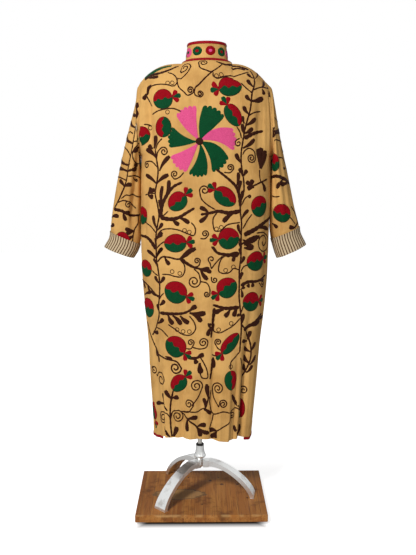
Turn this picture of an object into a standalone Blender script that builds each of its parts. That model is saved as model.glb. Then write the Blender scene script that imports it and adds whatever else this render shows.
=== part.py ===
"""A long embroidered chapan robe, worn by a limbless dress form on a three-legged stand.

Metres, +Z up. The robe's front faces -Y, and its wearer's left is +X. Everything is laid out from the
stand's pole, and the empty "stand_axis" then moves it so that the origin is the middle of the footprint.

The cloth is one surface that is cut into its sewn pieces. Every piece of it is a wall that takes its
thickness along normals which neighbouring pieces share, so that seams are mitred and never cross.
"""

import math
from collections import namedtuple

import bmesh
import bpy
import numpy as np

# The stand's pole from the middle of the footprint.
STAND_X = 0.0175

# Cloth and seams.
CLOTH = 0.0024
SEAM_GAP = 0.00036
BINDING = 0.009
BINDING_PROUD = 0.0006

# Stand: cleats, board, hub, legs and pole.
CLEAT_SIZE = (0.055, 0.300, 0.0105)
CLEAT_X = 0.157
CLEAT_BEVEL = 0.0012
BOARD_BEVEL = 0.0025
BOARD_X = -0.0053
BOARD_SIZE = (0.432, 0.347, 0.0242)
BOARD_TOP = CLEAT_SIZE[2] + SEAM_GAP + BOARD_SIZE[2]
LEG_ANGLES = {"leg_right": 169.0, "leg_front": 304.0, "leg_left": 46.0}
LEG_START = 0.0123
LEG_BEND_START = 0.035
LEG_REACH = 0.157
LEG_RISE = 0.1195
LEG_CURVE = 1.5
LEG_WIDTH = (0.026, 0.049)
LEG_DEPTH = (0.024, 0.013)
LEG_WALL = 0.0035
POLE_RADIUS = 0.0080
HUB_TOP = BOARD_TOP + 0.1700
HUB_BORE_DEPTH = 0.030

# Heights and half-sizes of the robe's neck, shoulders and armholes.
NECK_Z = 1.4815
NECK_X = -0.0245
NECK_HALF = 0.081
NECK_BACK = 0.068
NECK_FRONT = 0.078
FRONT_NECK_DROP = 0.042
SHOULDER_X = -0.0130
SHOULDER_HALF = 0.201
SHOULDER_DROP = 0.0565
SHOULDER_CURVE = (2.7, 2.25)
CREST_HEIGHT = (0.050, 0.095)
ARMPIT_Z = 1.190
ARMHOLE_DEPTH = 0.052
ARMHOLE_NARROWING = 2.2
SECTION_POWER = 0.84
COLLAR_HEIGHT = 0.0615
COLLAR_TOP_HALF = 0.0615
COLLAR_BASE_HALF = 0.0695

# Horizontal sections of the robe's body, from the hem up.
Section = namedtuple("Section", "z centre half_width back front")
BODY = [
    Section(0.240, -0.0085, 0.1665, 0.150, 0.146),
    Section(0.344, -0.0120, 0.1725, 0.148, 0.146),
    Section(0.457, -0.0135, 0.1810, 0.145, 0.146),
    Section(0.570, -0.0160, 0.1870, 0.141, 0.145),
    Section(0.680, -0.0177, 0.1980, 0.137, 0.143),
    Section(0.790, -0.0176, 0.2072, 0.133, 0.141),
    Section(0.930, -0.0175, 0.2110, 0.127, 0.138),
    Section(1.080, -0.0210, 0.2122, 0.121, 0.137),
    Section(1.190, -0.0217, 0.2115, 0.118, 0.138),
    Section(1.300, -0.0205, 0.2110, 0.115, 0.131),
    Section(1.380, -0.0175, 0.2065, 0.106, 0.110),
    Section(1.440, -0.0130, 0.2000, 0.094, 0.090),
    Section(1.500, -0.0130, 0.2000, 0.085, 0.080),
]

# Height of the hem round the body: 0 degrees is the centre of the back, 90 the left side seam.
HemPoint = namedtuple("HemPoint", "angle z")
HEM = [
    HemPoint(-180, 0.262),
    HemPoint(-135, 0.262),
    HemPoint(-90, 0.261),
    HemPoint(-62, 0.266),
    HemPoint(-46, 0.274),
    HemPoint(-20, 0.274),
    HemPoint(-6, 0.281),
    HemPoint(15, 0.284),
    HemPoint(45, 0.278),
    HemPoint(62, 0.272),
    HemPoint(90, 0.261),
    HemPoint(135, 0.262),
    HemPoint(180, 0.262),
]

# Folds of the body: where they lie, how wide and deep they are (a valley is negative), and their ends.
Fold = namedtuple("Fold", "angle width depth low high drift")
FOLDS = [
    Fold(-8.0, 4.5, -0.0070, 0.20, 0.95, 1.0),
    Fold(-19.0, 8.0, 0.0090, 0.20, 0.62, 0.0),
    Fold(-46.0, 6.0, -0.0120, 0.20, 0.80, 2.0),
    Fold(-60.0, 7.0, 0.0060, 0.20, 0.70, 0.0),
    Fold(8.0, 8.0, 0.0045, 0.20, 0.72, -3.0),
    Fold(21.0, 6.0, -0.0055, 0.20, 0.60, -4.0),
    Fold(36.0, 8.0, 0.0045, 0.20, 0.85, 2.0),
    Fold(58.0, 7.0, -0.0060, 0.20, 0.95, -3.0),
    Fold(52.0, 9.0, -0.0090, 1.15, 1.46, 6.0),
    Fold(74.0, 8.0, 0.0060, 1.18, 1.42, 0.0),
    Fold(-55.0, 9.0, -0.0080, 1.12, 1.45, -6.0),
    Fold(-30.0, 9.0, -0.0040, 0.95, 1.40, -8.0),
    Fold(26.0, 10.0, -0.0040, 0.90, 1.38, 8.0),
    Fold(112.0, 9.0, -0.0090, 0.20, 1.05, 4.0),
    Fold(132.0, 10.0, 0.0080, 0.20, 0.95, 3.0),
    Fold(150.0, 8.0, -0.0070, 0.20, 1.10, -3.0),
    Fold(-114.0, 9.0, -0.0080, 0.20, 0.95, -4.0),
    Fold(-134.0, 10.0, 0.0080, 0.20, 1.05, -3.0),
    Fold(-153.0, 8.0, -0.0080, 0.20, 0.85, 3.0),
    Fold(126.0, 9.0, -0.0070, 1.20, 1.44, -5.0),
    Fold(-126.0, 9.0, -0.0070, 1.20, 1.44, 5.0),
]

# The hem's binding starts this many degrees from the centre of the back. The hem between is turned under.
HEM_BINDING_START = 50.0

# The gap between the two front edges, bindings included, by height.
FRONT_GAP = ((0.24, 0.034), (0.80, 0.020), (1.20, 0.010), (1.50, 0.008))

# Sleeves: the line of the outer edge and the underarm seam, the middle's distance from the pole towards
# the back, and the half-thickness from front to back. Row 0 is the armhole and comes from the body.
SleeveRow = namedtuple("SleeveRow", "outer_x outer_z inner_x inner_z middle_y half_depth")
SLEEVES = {
    "left": [
        SleeveRow(0.1985, 1.4080, 0.1990, 1.1800, -0.002, 0.0560),
        SleeveRow(0.2060, 1.3600, 0.1985, 1.1450, -0.004, 0.0580),
        SleeveRow(0.2290, 1.2780, 0.1985, 1.0980, -0.009, 0.0595),
        SleeveRow(0.2510, 1.1950, 0.1975, 1.0490, -0.013, 0.0580),
        SleeveRow(0.2710, 1.1100, 0.1975, 0.9990, -0.017, 0.0535),
        SleeveRow(0.2870, 1.0260, 0.1985, 0.9520, -0.021, 0.0480),
        SleeveRow(0.2965, 0.9600, 0.2030, 0.9120, -0.024, 0.0420),
        SleeveRow(0.2985, 0.9210, 0.2140, 0.8860, -0.027, 0.0380),
        SleeveRow(0.3120, 0.8890, 0.2290, 0.8570, -0.030, 0.0400),
    ],
    "right": [
        SleeveRow(-0.2320, 1.4080, -0.2420, 1.1800, -0.002, 0.0560),
        SleeveRow(-0.2430, 1.3600, -0.2420, 1.1450, -0.004, 0.0580),
        SleeveRow(-0.2580, 1.2780, -0.2400, 1.0980, -0.006, 0.0595),
        SleeveRow(-0.2760, 1.1950, -0.2385, 1.0510, -0.009, 0.0580),
        SleeveRow(-0.2960, 1.1100, -0.2370, 1.0030, -0.012, 0.0535),
        SleeveRow(-0.3140, 1.0280, -0.2360, 0.9580, -0.014, 0.0485),
        SleeveRow(-0.3310, 0.9660, -0.2390, 0.9240, -0.016, 0.0435),
        SleeveRow(-0.3340, 0.9350, -0.2480, 0.9030, -0.018, 0.0390),
        SleeveRow(-0.3490, 0.8970, -0.2660, 0.8580, -0.020, 0.0415),
    ],
}
SLEEVE_PLACES = (1.0, 1.6, 2.3, 3.0, 3.7, 4.4, 5.1, 5.8, 6.5, 7.2, 8.0, 8.9)

# Turned-back cuffs follow the sleeve: the place where each starts and ends on it, and how far off it is.
CUFF_START = {"left": 7.35, "right": 7.15}
CUFF_END = 9.05
CUFF_OFF = (0.0007, 0.0060)
CUFF_WALL = 0.0026
CUFF_LIP = 0.0048

# How many thicknesses the mitre of a sharp seam may be long.
LONGEST_MITRE = 2.4

# The fronts' columns start this many degrees round, a hair past the side seam at 90.
FRONT_START = 90.000001

# Rows and columns that the cloth is divided into.
CREST_STEPS = 4
CHEST_STEPS = 4
SKIRT_STEPS = 14
SHOULDER_STEPS = 10
BACK_NECK_STEPS = 8
FRONT_NECK_STEPS = 4

# Dress form below its shoulders, from the bottom up: half-widths to the left and right, depths back and
# front. Its shoulders follow the robe's own, a little below the cloth.
FormRow = namedtuple("FormRow", "z left right back front")
FORM = [
    FormRow(0.800, 0.126, 0.126, 0.084, 0.082),
    FormRow(0.805, 0.146, 0.146, 0.096, 0.093),
    FormRow(0.825, 0.158, 0.158, 0.105, 0.101),
    FormRow(0.900, 0.166, 0.166, 0.110, 0.104),
    FormRow(0.980, 0.150, 0.150, 0.097, 0.096),
    FormRow(1.070, 0.124, 0.124, 0.083, 0.087),
    FormRow(1.150, 0.134, 0.134, 0.088, 0.101),
    FormRow(1.230, 0.151, 0.151, 0.093, 0.120),
    FormRow(1.300, 0.163, 0.160, 0.092, 0.110),
    FormRow(1.350, 0.173, 0.168, 0.084, 0.090),
    FormRow(1.400, 0.180, 0.172, 0.074, 0.070),
    FormRow(1.500, 0.180, 0.172, 0.060, 0.060),
]
FORM_BOTTOM = FORM[0].z
FORM_LEAN = -0.0155
FORM_LEVELS = (1.345, 1.300, 1.230, 1.150, 1.070, 0.980, 0.900, 0.825, 0.805, 0.800)
FORM_REST = 0.0005
FORM_NECK_EASE = 0.0045
# Neck block: height, half-width, half-depth.
FORM_NECK = ((1.4870, 0.0600, 0.0520), (1.5120, 0.0555, 0.0480), (1.5200, 0.0530, 0.0460), (1.5230, 0.0470, 0.0400))

COLOURS = {
    "cloth": (0.58, 0.36, 0.14, 0.92, 0.0),
    "binding": (0.42, 0.010, 0.020, 0.75, 0.0),
    "lining": (0.66, 0.52, 0.36, 0.90, 0.0),
    "form": (0.70, 0.62, 0.50, 0.90, 0.0),
    "wood": (0.35, 0.16, 0.05, 0.60, 0.0),
    "aluminium": (0.62, 0.62, 0.60, 0.38, 1.0),
    "steel": (0.52, 0.50, 0.47, 0.30, 1.0),
    "rubber": (0.02, 0.02, 0.02, 0.60, 0.0),
}


def clear_scene():
    """An empty scene, and the empty at the foot of the pole that every piece hangs from."""
    for obj in list(bpy.data.objects):
        bpy.data.objects.remove(obj)
    axis = bpy.data.objects.new("stand_axis", None)
    bpy.context.scene.collection.objects.link(axis)
    axis.location = (STAND_X, 0.0, 0.0)
    return axis


def material(name):
    """The Principled material of a finish in COLOURS: red, green, blue, roughness, metallic."""
    if name in bpy.data.materials:
        return bpy.data.materials[name]
    red, green, blue, roughness, metallic = COLOURS[name]
    made = bpy.data.materials.new(name)
    made.use_nodes = True
    shader = made.node_tree.nodes["Principled BSDF"]
    shader.inputs["Base Color"].default_value = (red, green, blue, 1.0)
    shader.inputs["Roughness"].default_value = roughness
    shader.inputs["Metallic"].default_value = metallic
    return made


def finish_mesh(name, made, finish, smooth_angle):
    """Turns a bmesh's faces outwards and makes it an object on the stand's axis."""
    bmesh.ops.recalc_face_normals(made, faces=made.faces)
    if made.calc_volume(signed=True) < 0:
        bmesh.ops.reverse_faces(made, faces=made.faces)
    mesh = bpy.data.meshes.new(name)
    made.to_mesh(mesh)
    made.free()
    mesh.materials.append(material(finish))
    mesh.shade_smooth()
    mesh.set_sharp_from_angle(angle=math.radians(smooth_angle))
    obj = bpy.data.objects.new(name, mesh)
    obj.parent = bpy.data.objects["stand_axis"]
    bpy.context.scene.collection.objects.link(obj)
    return obj


def add_object(name, points, faces, finish, smooth_angle):
    """An object from points and the faces between them, given as point numbers."""
    made = bmesh.new()
    corners = [made.verts.new(p) for p in points]
    for face in faces:
        made.faces.new([corners[k] for k in face])
    return finish_mesh(name, made, finish, smooth_angle)


def smooth(knots, values, at):
    """A cubic curve through values at knots, whose slope at each is that of its neighbours' chord."""
    knots, values = np.asarray(knots, float), np.asarray(values, float)
    slope = np.gradient(values, knots)
    i = np.clip(np.searchsorted(knots, at) - 1, 0, len(knots) - 2)
    width = knots[i + 1] - knots[i]
    t = np.clip((at - knots[i]) / width, 0.0, 1.0)
    start = (1 + 2 * t) * (1 - t) ** 2 * values[i] + t * (1 - t) ** 2 * width * slope[i]
    end = t * t * (3 - 2 * t) * values[i + 1] + t * t * (t - 1) * width * slope[i + 1]
    return start + end


def ease(t):
    """0 below 0, 1 above 1, and an even slope between."""
    t = np.clip(t, 0.0, 1.0)
    return t * t * (3 - 2 * t)


# The robe's body surface


def section_factors(angle):
    """How far across (signed) and how far deep a point lies at an angle, as shares of the half-sizes."""
    across, deep = np.sin(np.radians(angle)), np.cos(np.radians(angle))
    return np.sign(across) * np.abs(across) ** SECTION_POWER, np.abs(deep) ** SECTION_POWER


def angle_at(share):
    """The angle, from 0 to 90, at which a section is that share of its half-width across."""
    return np.degrees(np.arcsin(np.clip(np.abs(share), 0, 1) ** (1 / SECTION_POWER)))


def top_edge(angle):
    """(x, y, z) of the body's top edge: the shoulder seam, and inside it the neckline."""
    across, _ = section_factors(angle)
    x = SHOULDER_X + SHOULDER_HALF * across
    from_neck = x - NECK_X
    reach = SHOULDER_HALF + np.sign(from_neck) * (SHOULDER_X - NECK_X) - NECK_HALF
    past = np.clip((np.abs(from_neck) - NECK_HALF) / reach, 0, 1)
    inside = np.sqrt(np.clip(1 - (from_neck / NECK_HALF) ** 2, 0, 1))
    back = np.abs(angle) < 90
    y = np.where(back, NECK_BACK, -NECK_FRONT) * inside
    curve = np.where(from_neck > 0, *SHOULDER_CURVE)
    z = NECK_Z - SHOULDER_DROP * past**curve - np.where(back, 0.0, FRONT_NECK_DROP) * inside**2
    return x, y, z


def fold_depth(angle, z):
    """How far the folds push the cloth out."""
    total = np.zeros(np.broadcast(angle, z).shape)
    for fold in FOLDS:
        span = (np.asarray(z) - fold.low) / (fold.high - fold.low)
        middle = fold.angle + fold.drift * span
        away = (angle - middle + 180) % 360 - 180
        shape = np.exp(-((away / fold.width) ** 2))
        ends = ease((1 - span) / 0.6) * np.where(fold.low > 0.5, ease(span / 0.4), 1.0)
        total = total + fold.depth * shape * np.where((span >= 0) & (span <= 1), ends, 0.0)
    return total


def body_point(angle, z, armhole_depth=ARMHOLE_DEPTH):
    """A point of the body's outer surface at an angle round it and a height."""
    angle, z = np.broadcast_arrays(np.asarray(angle, float), np.asarray(z, float))
    heights = [s.z for s in BODY]
    centre, half, back, front = (
        smooth(heights, [getattr(s, name) for s in BODY], z)
        for name in ("centre", "half_width", "back", "front")
    )
    across, deep = section_factors(angle)
    facing = np.where(np.abs(angle) <= 90, 1.0, -1.0)
    top_x, top_y, top_z = top_edge(angle)
    rounding = crest_height(angle)
    drop = np.clip((top_z - z) / rounding, 0, 1)
    out = np.sqrt(1 - (1 - drop) ** 2)
    tip_z = NECK_Z - SHOULDER_DROP
    down = np.clip((tip_z - z) / (tip_z - ARMPIT_Z), 0, 1)
    armhole = armhole_depth * 2 * np.sqrt(down * (1 - down)) * (1 - deep) ** ARMHOLE_NARROWING
    x = centre + half * across
    x = x + (top_x - x) * (1 - out)
    y = top_y * (1 - out) + facing * out * deep * np.where(facing > 0, back, front) + facing * armhole
    push = fold_depth(angle, z) * ease(drop)
    length = np.hypot(across / half, deep / back)
    x = x + push * (across / half) / length
    y = y + push * facing * (deep / back) / length
    return np.stack([x, y, z], axis=-1)


def crest_height(angle):
    """How far below the top edge the cloth has turned from the shoulder to hang straight."""
    at_tip, at_neck = CREST_HEIGHT
    return at_tip + (at_neck - at_tip) * np.cos(np.radians(angle)) ** 2


def body_rows(angle):
    """Heights of the rows down one column: over the crest, down to the armpit, and on to the hem."""
    _, _, top = top_edge(angle)
    crest = crest_height(angle)
    turn = np.linspace(0, math.pi / 2, CREST_STEPS + 1)
    rows = [top - crest * (1 - math.cos(t)) for t in turn]
    start = rows[-1]
    rows += [start + (ARMPIT_Z - start) * k / CHEST_STEPS for k in range(1, CHEST_STEPS + 1)]
    hem = smooth([h.angle for h in HEM], [h.z for h in HEM], angle)
    rows += [ARMPIT_Z + (hem - ARMPIT_Z) * k / SKIRT_STEPS for k in range(1, SKIRT_STEPS + 1)]
    return np.array(rows)


def front_edge_angle(side, z, inwards=0.0):
    """The angle of a front edge at a height, inwards metres nearer the middle of the front."""
    half = smooth([s.z for s in BODY], [s.half_width for s in BODY], z)
    gap = np.interp(z, [g[0] for g in FRONT_GAP], [g[1] for g in FRONT_GAP])
    to_neck = (NECK_X - SHOULDER_X) * ease((z - FORM[0].z) / (ARMPIT_Z - FORM[0].z))
    across = side * (gap / 2 + BINDING - inwards) + to_neck
    return side * 180.0 - np.sign(across) * angle_at(across / half)


def corner_angle(side):
    """The angle of the column that ends at the neck's corner on one shoulder."""
    across = (NECK_X - SHOULDER_X + side * NECK_HALF) / SHOULDER_HALF
    return side * float(angle_at(across))


def back_columns():
    """Column angles of the back, from the right side seam to the left one."""
    right, left = corner_angle(-1), corner_angle(1)
    return np.concatenate(
        [
            np.linspace(-90, right, SHOULDER_STEPS + 1)[:-1],
            np.linspace(right, left, BACK_NECK_STEPS + 1)[:-1],
            np.linspace(left, 90, SHOULDER_STEPS + 1),
        ]
    )


def back_grid():
    """Rows by columns of points of the back."""
    columns = back_columns()
    heights = np.stack([body_rows(a) for a in columns], axis=1)
    return body_point(columns[None, :], heights)


def front_columns(side):
    """Column angles of one front at each row, from its side seam to its front edge."""
    corner = side * 180 - corner_angle(side)
    shoulder = np.linspace(side * FRONT_START, corner, SHOULDER_STEPS + 1)
    edge = front_edge_angle(side, body_rows(side * 179.0))
    share = np.linspace(0, 1, FRONT_NECK_STEPS + 1)[1:]
    inner = corner + (edge[:, None] - corner) * share[None, :]
    return np.concatenate([np.repeat(shoulder[None, :], len(edge), axis=0), inner], axis=1)


def front_grid(side):
    """Rows by columns of points of one front."""
    angles = front_columns(side)
    heights = np.empty_like(angles)
    for j in range(angles.shape[1]):
        for i in range(angles.shape[0]):
            heights[i, j] = body_rows(angles[i, j])[i]
    return body_point(angles, heights)


def front_binding_grid(side):
    """The binding that carries on from a front edge, as rows down it and three columns across."""
    angles = front_columns(side)[:, -1]
    heights = np.array([body_rows(a)[i] for i, a in enumerate(angles)])
    columns = [front_edge_angle(side, heights, BINDING * share) for share in (0.0, 0.5, 1.0)]
    angles = np.stack(columns, axis=1)
    points = body_point(angles, heights[:, None])
    points[0, :, 2] = top_edge(angles[0])[2]
    points[0, :, 1] = top_edge(angles[0])[1]
    return points


def hem_binding_grid(side):
    """The binding under the hem, from HEM_BINDING_START round one side to the front edge."""
    back = [a for a in back_columns() if side * a >= HEM_BINDING_START]
    back = sorted(back, key=abs)
    bottom = front_columns(side)[-1]
    hem_z = smooth([h.angle for h in HEM], [h.z for h in HEM], bottom[-1])
    end = front_edge_angle(side, hem_z, BINDING)
    angles = np.concatenate([back, bottom[1:], [end]])
    heights = smooth([h.angle for h in HEM], [h.z for h in HEM], angles)
    return np.stack([body_point(angles, heights - BINDING * share) for share in (0.0, 0.5, 1.0)])


# Collar


def neck_angles():
    """Angles of the collar's columns round the neck, matched to the body's columns at the neckline."""

    def round_neck(x, y, depth):
        return np.degrees(np.arctan2((x - NECK_X) / NECK_HALF, y / depth))

    def along(grid, columns):
        edge = grid[0, columns]
        depth = np.where(edge[:, 1] >= 0, NECK_BACK, NECK_FRONT)
        return round_neck(edge[:, 0], edge[:, 1], depth)

    neck = slice(SHOULDER_STEPS, SHOULDER_STEPS + BACK_NECK_STEPS + 1)
    back = along(back_grid(), neck)
    left = along(front_grid(1), slice(SHOULDER_STEPS, None))
    right = along(front_grid(-1), slice(SHOULDER_STEPS, None))
    return np.concatenate([right[::-1], back[1:-1], left])


def collar_ring(angles, up):
    """A ring round the neck, up metres above the neckline."""
    share = np.clip(up / COLLAR_HEIGHT, 0, 1)
    base = ease(up / BINDING)
    half = NECK_HALF + (COLLAR_BASE_HALF - NECK_HALF) * base + (COLLAR_TOP_HALF - COLLAR_BASE_HALF) * share
    slim = (half - NECK_HALF) * 0.75
    turn = np.radians(angles)
    depth = np.where(np.cos(turn) >= 0, NECK_BACK, NECK_FRONT) + slim
    front = np.clip(-np.cos(turn), 0, 1) ** 2
    x = NECK_X + half * np.sin(turn)
    y = depth * np.cos(turn)
    z = NECK_Z + up - front * (FRONT_NECK_DROP + 0.10 * up)
    return np.stack([x, y, z], axis=-1)


def collar_grid(low, high, steps):
    """Rows from low to high above the neckline, by columns round the neck."""
    angles = neck_angles()
    return np.stack([collar_ring(angles, up) for up in np.linspace(low, high, steps + 1)])


# Sleeves and cuffs


def sleeve_ring(row, turns, inset=0.0):
    """Points round one sleeve section: turn 0 is the outer edge and 180 the underarm seam."""
    outer, inner = np.array([row.outer_x, row.outer_z]), np.array([row.inner_x, row.inner_z])
    middle, half = (outer + inner) / 2, (outer - inner) / 2
    half = half * (1 - inset / np.linalg.norm(half))
    turn = np.radians(turns)
    x = middle[0] + half[0] * np.cos(turn)
    z = middle[1] + half[1] * np.cos(turn)
    y = row.middle_y + (row.half_depth - inset) * np.sin(turn)
    return np.stack([x, y, z], axis=-1)


def sleeve_sizes(name, place, armhole):
    """The sleeve's six sizes at a place along it, where 0 is the armhole and 1 the first row of its table."""
    table = [armhole, *SLEEVES[name]]
    knots = range(len(table))
    return SleeveRow(*(float(smooth(knots, [row[k] for row in table], place)) for k in range(6)))


def armhole_edge(name):
    """The body's points round an armhole, from the shoulder's tip down the back and up the front."""
    side = 1 if name == "left" else -1
    back = back_grid()[: CREST_STEPS + CHEST_STEPS + 1, -1 if side > 0 else 0]
    front = front_grid(side)[: CREST_STEPS + CHEST_STEPS + 1, 0]
    edge = np.concatenate([back, front[-2:0:-1]])
    row = SleeveRow(edge[0, 0], edge[0, 2], back[-1, 0], back[-1, 2], 0.0, ARMHOLE_DEPTH)
    return edge, row


def sleeve_grid(name):
    """Rows from the armhole to the wrist, by columns round the sleeve. The first row is the body's edge."""
    armhole, row = armhole_edge(name)
    down = np.clip((row.outer_z - armhole[:, 2]) / (row.outer_z - row.inner_z), 0, 1)
    turns = np.degrees(np.arccos(1 - 2 * down))
    half = len(turns) // 2
    turns[half + 1 :] = 360 - turns[half + 1 :]
    even = np.linspace(0, 360, len(turns) + 1)[:-1]
    rows = [armhole]
    for place in SLEEVE_PLACES:
        mix = ease((place - 0.5) / 3.0)
        rows.append(sleeve_ring(sleeve_sizes(name, place, row), turns * (1 - mix) + even * mix))
    return np.stack(rows)


def cuff_rings(name, columns):
    """The rings round a turned-back cuff's profile: down its outside, under the fold, and up inside."""
    _, armhole = armhole_edge(name)
    turns = np.linspace(0, 360, columns + 1)[:-1]
    near, far = CUFF_OFF
    start = CUFF_START[name]
    middle = (start + CUFF_END) / 2
    profile = [
        (start, near + CUFF_WALL),
        (middle, far * 0.8 + CUFF_WALL),
        (CUFF_END - 0.08, far + CUFF_WALL),
        (CUFF_END, far + CUFF_WALL / 2),
        (CUFF_END, far + CUFF_WALL - CUFF_LIP),
        (CUFF_END - 0.09, far + CUFF_WALL - CUFF_LIP),
        (CUFF_END - 0.09, far),
        (middle, far * 0.8),
        (start, near),
    ]
    return [sleeve_ring(sleeve_sizes(name, place, armhole), turns, -off) for place, off in profile]


# Walls from surfaces


def grid_faces(rows, columns, closed=False):
    """Quads of a grid of points, as (row, column) pairs; closed joins its last column to its first."""
    last = columns if closed else columns - 1
    return [
        ((i, j), (i + 1, j), (i + 1, (j + 1) % columns), (i, (j + 1) % columns))
        for i in range(rows - 1)
        for j in range(last)
    ]


def shared_normals(grids):
    """Vectors that step one thickness off every face that meets at a grid point, on any of the grids.

    Each solves a small least-squares system: its dot product with every face's normal there is 1.
    """
    keys = {}
    systems = {}
    for name, (points, closed, outwards) in grids.items():
        rows, columns = points.shape[:2]
        keys[name] = np.round(points * 20000).astype(int)
        for quad in grid_faces(rows, columns, closed):
            a, b, c, d = (points[q] for q in quad)
            normal = np.cross(c - a, d - b) * outwards
            normal /= np.linalg.norm(normal)
            for q in quad:
                key = tuple(keys[name][q])
                square, total = systems.get(key, (np.zeros((3, 3)), np.zeros(3)))
                systems[key] = (square + np.outer(normal, normal), total + normal)
    steps = {}
    for key, (square, total) in systems.items():
        step = np.linalg.solve(square + np.eye(3) * 0.02 * np.trace(square), total)
        steps[key] = step / max(1.0, np.linalg.norm(step) / LONGEST_MITRE)
    normals = {}
    for name, (points, _, _) in grids.items():
        flat = [steps[tuple(k)] for k in keys[name].reshape(-1, 3)]
        normals[name] = np.array(flat).reshape(points.shape)
    return normals


def drawn_in(points, normals, edges):
    """The grid with the named edges moved into it, to half a seam gap from the mitre they share."""
    moved = points.copy()
    for edge in edges:
        outer, inner = {
            "top": ((0,), (1,)),
            "bottom": ((-1,), (-2,)),
            "first": ((slice(None), 0), (slice(None), 1)),
            "last": ((slice(None), -1), (slice(None), -2)),
        }[edge]
        line = points[outer].reshape(-1, 3)
        step = points[inner].reshape(-1, 3) - line
        step /= np.linalg.norm(step, axis=-1, keepdims=True)
        mitre = np.cross(np.gradient(line, axis=0), normals[outer].reshape(-1, 3))
        mitre /= np.linalg.norm(mitre, axis=-1, keepdims=True)
        squareness = np.abs(np.sum(step * mitre, axis=-1, keepdims=True))
        moved[outer] += (step * SEAM_GAP / 2 / np.clip(squareness, 0.3, 1)).reshape(points[outer].shape)
    return moved


def edge_wall(vertices, a, b, step):
    """Two triangles from an outer edge to its inner one, split from the higher end on both sides of a seam."""
    rank = np.array([0.37, 0.11, 1.0])
    if vertices[a] @ rank > vertices[b] @ rank:
        return [[a, b, step + b], [a, step + b, step + a]]
    return [[a, b, step + a], [b, step + b, step + a]]


def panel_wall(name, points, normals, finish, out=0.0, inwards=CLOTH):
    """A flat-cut piece: its surface pushed out and in along the normals, with walls round its edge."""
    rows, columns = points.shape[:2]
    outer, inner = points + normals * out, points - normals * inwards
    count = rows * columns
    vertices = np.concatenate([outer.reshape(-1, 3), inner.reshape(-1, 3)])
    faces = []
    for quad in grid_faces(rows, columns):
        flat = [i * columns + j for i, j in quad]
        faces.append(flat)
        faces.append([count + k for k in reversed(flat)])
    edge = [j for j in range(columns)]
    edge += [i * columns + columns - 1 for i in range(1, rows)]
    edge += [(rows - 1) * columns + j for j in range(columns - 2, -1, -1)]
    edge += [i * columns for i in range(rows - 2, 0, -1)]
    for a, b in zip(edge, edge[1:] + edge[:1]):
        faces += edge_wall(vertices, a, b, count)
    return add_object(name, vertices, faces, finish, 50)


def ring_wall(name, rings, finish):
    """A hollow piece whose profile is closed: each ring is joined to the next and the last to the first."""
    columns = len(rings[0])
    vertices = np.concatenate(rings)
    faces = []
    last = (len(rings) - 1) * columns
    for j in range(columns):
        faces += [f[::-1] for f in edge_wall(vertices, j, (j + 1) % columns, last)]
    for k in range(len(rings) - 1):
        after = k + 1
        for j in range(columns):
            nxt = (j + 1) % columns
            faces.append([k * columns + j, k * columns + nxt, after * columns + nxt, after * columns + j])
    return add_object(name, vertices, faces, finish, 50)


# The robe


def make_robe():
    """All the sewn pieces, cut from surfaces that share their seam points and normals."""
    grids = {
        "back": (back_grid(), False, -1),
        "front_left": (front_grid(1), False, -1),
        "front_right": (front_grid(-1), False, 1),
        "binding_front_left": (front_binding_grid(1), False, -1),
        "binding_front_right": (front_binding_grid(-1), False, 1),
        "sleeve_left": (sleeve_grid("left"), True, 1),
        "sleeve_right": (sleeve_grid("right"), True, -1),
        "collar": (collar_grid(BINDING, COLLAR_HEIGHT - BINDING, 4), False, 1),
        "binding_neck": (collar_grid(0.0, BINDING, 2), False, 1),
        "binding_collar": (collar_grid(COLLAR_HEIGHT - BINDING, COLLAR_HEIGHT, 2), False, 1),
        "binding_hem_left": (hem_binding_grid(1), False, -1),
        "binding_hem_right": (hem_binding_grid(-1), False, 1),
    }
    normals = shared_normals(grids)
    all_edges = ("top", "bottom", "first", "last")
    for name, (points, closed, _) in grids.items():
        moved = drawn_in(points, normals[name], ("top",) if closed else all_edges)
        if closed:
            inner = moved - normals[name] * CLOTH
            ring_wall(name, [*moved, *inner[::-1]], "cloth")
        elif name.startswith("binding"):
            panel_wall(name, moved, normals[name], "binding", BINDING_PROUD, CLOTH + BINDING_PROUD)
        else:
            panel_wall(name, moved, normals[name], "cloth")
    columns = grids["sleeve_left"][0].shape[1]
    for side in SLEEVES:
        ring_wall(f"cuff_{side}", cuff_rings(side, columns), "lining")


# The dress form and its stand


def lean(z):
    """How far the dress form's middle has leant to its right of the pole at a height."""
    return FORM_LEAN * (z - HUB_TOP) / (NECK_Z - HUB_TOP)


def turned(name, profile, finish, steps=28):
    """A solid turned about an upright axis. The profile is (radius, z) points from bottom to top."""
    made = bmesh.new()
    ring = [made.verts.new((r, 0.0, z)) for r, z in profile]
    edges = [made.edges.new(pair) for pair in zip(ring, ring[1:])]
    closed = profile[0][0] > 0 or profile[-1][0] > 0
    if closed:
        edges.append(made.edges.new((ring[-1], ring[0])))
    bmesh.ops.spin(
        made,
        geom=ring + edges,
        cent=(0, 0, 0),
        axis=(0, 0, 1),
        angle=2 * math.pi,
        steps=steps,
        use_merge=True,
    )
    bmesh.ops.remove_doubles(made, verts=made.verts, dist=1e-6)
    return finish_mesh(name, made, finish, 35)


def form_grid(facing):
    """Half of the dress form as rows down it and columns across, right to left; facing 1 is the back."""
    angles = back_columns()[::2] if facing > 0 else np.sign(back_columns()[::2]) * 180 - back_columns()[::2]
    if facing < 0:
        angles = np.where(np.abs(angles) == 90, angles / 90 * FRONT_START, angles)
        angles = np.where(np.abs(angles) < 1e-6, 180.0, angles)
    crest = np.stack([body_rows(a)[: CREST_STEPS + 1] for a in angles], axis=1)
    levels = np.repeat(np.array(FORM_LEVELS)[:, None], len(angles), axis=1)
    heights = np.concatenate([crest, levels])
    return angles, heights, body_point(angles, heights, 0.0)


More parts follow.
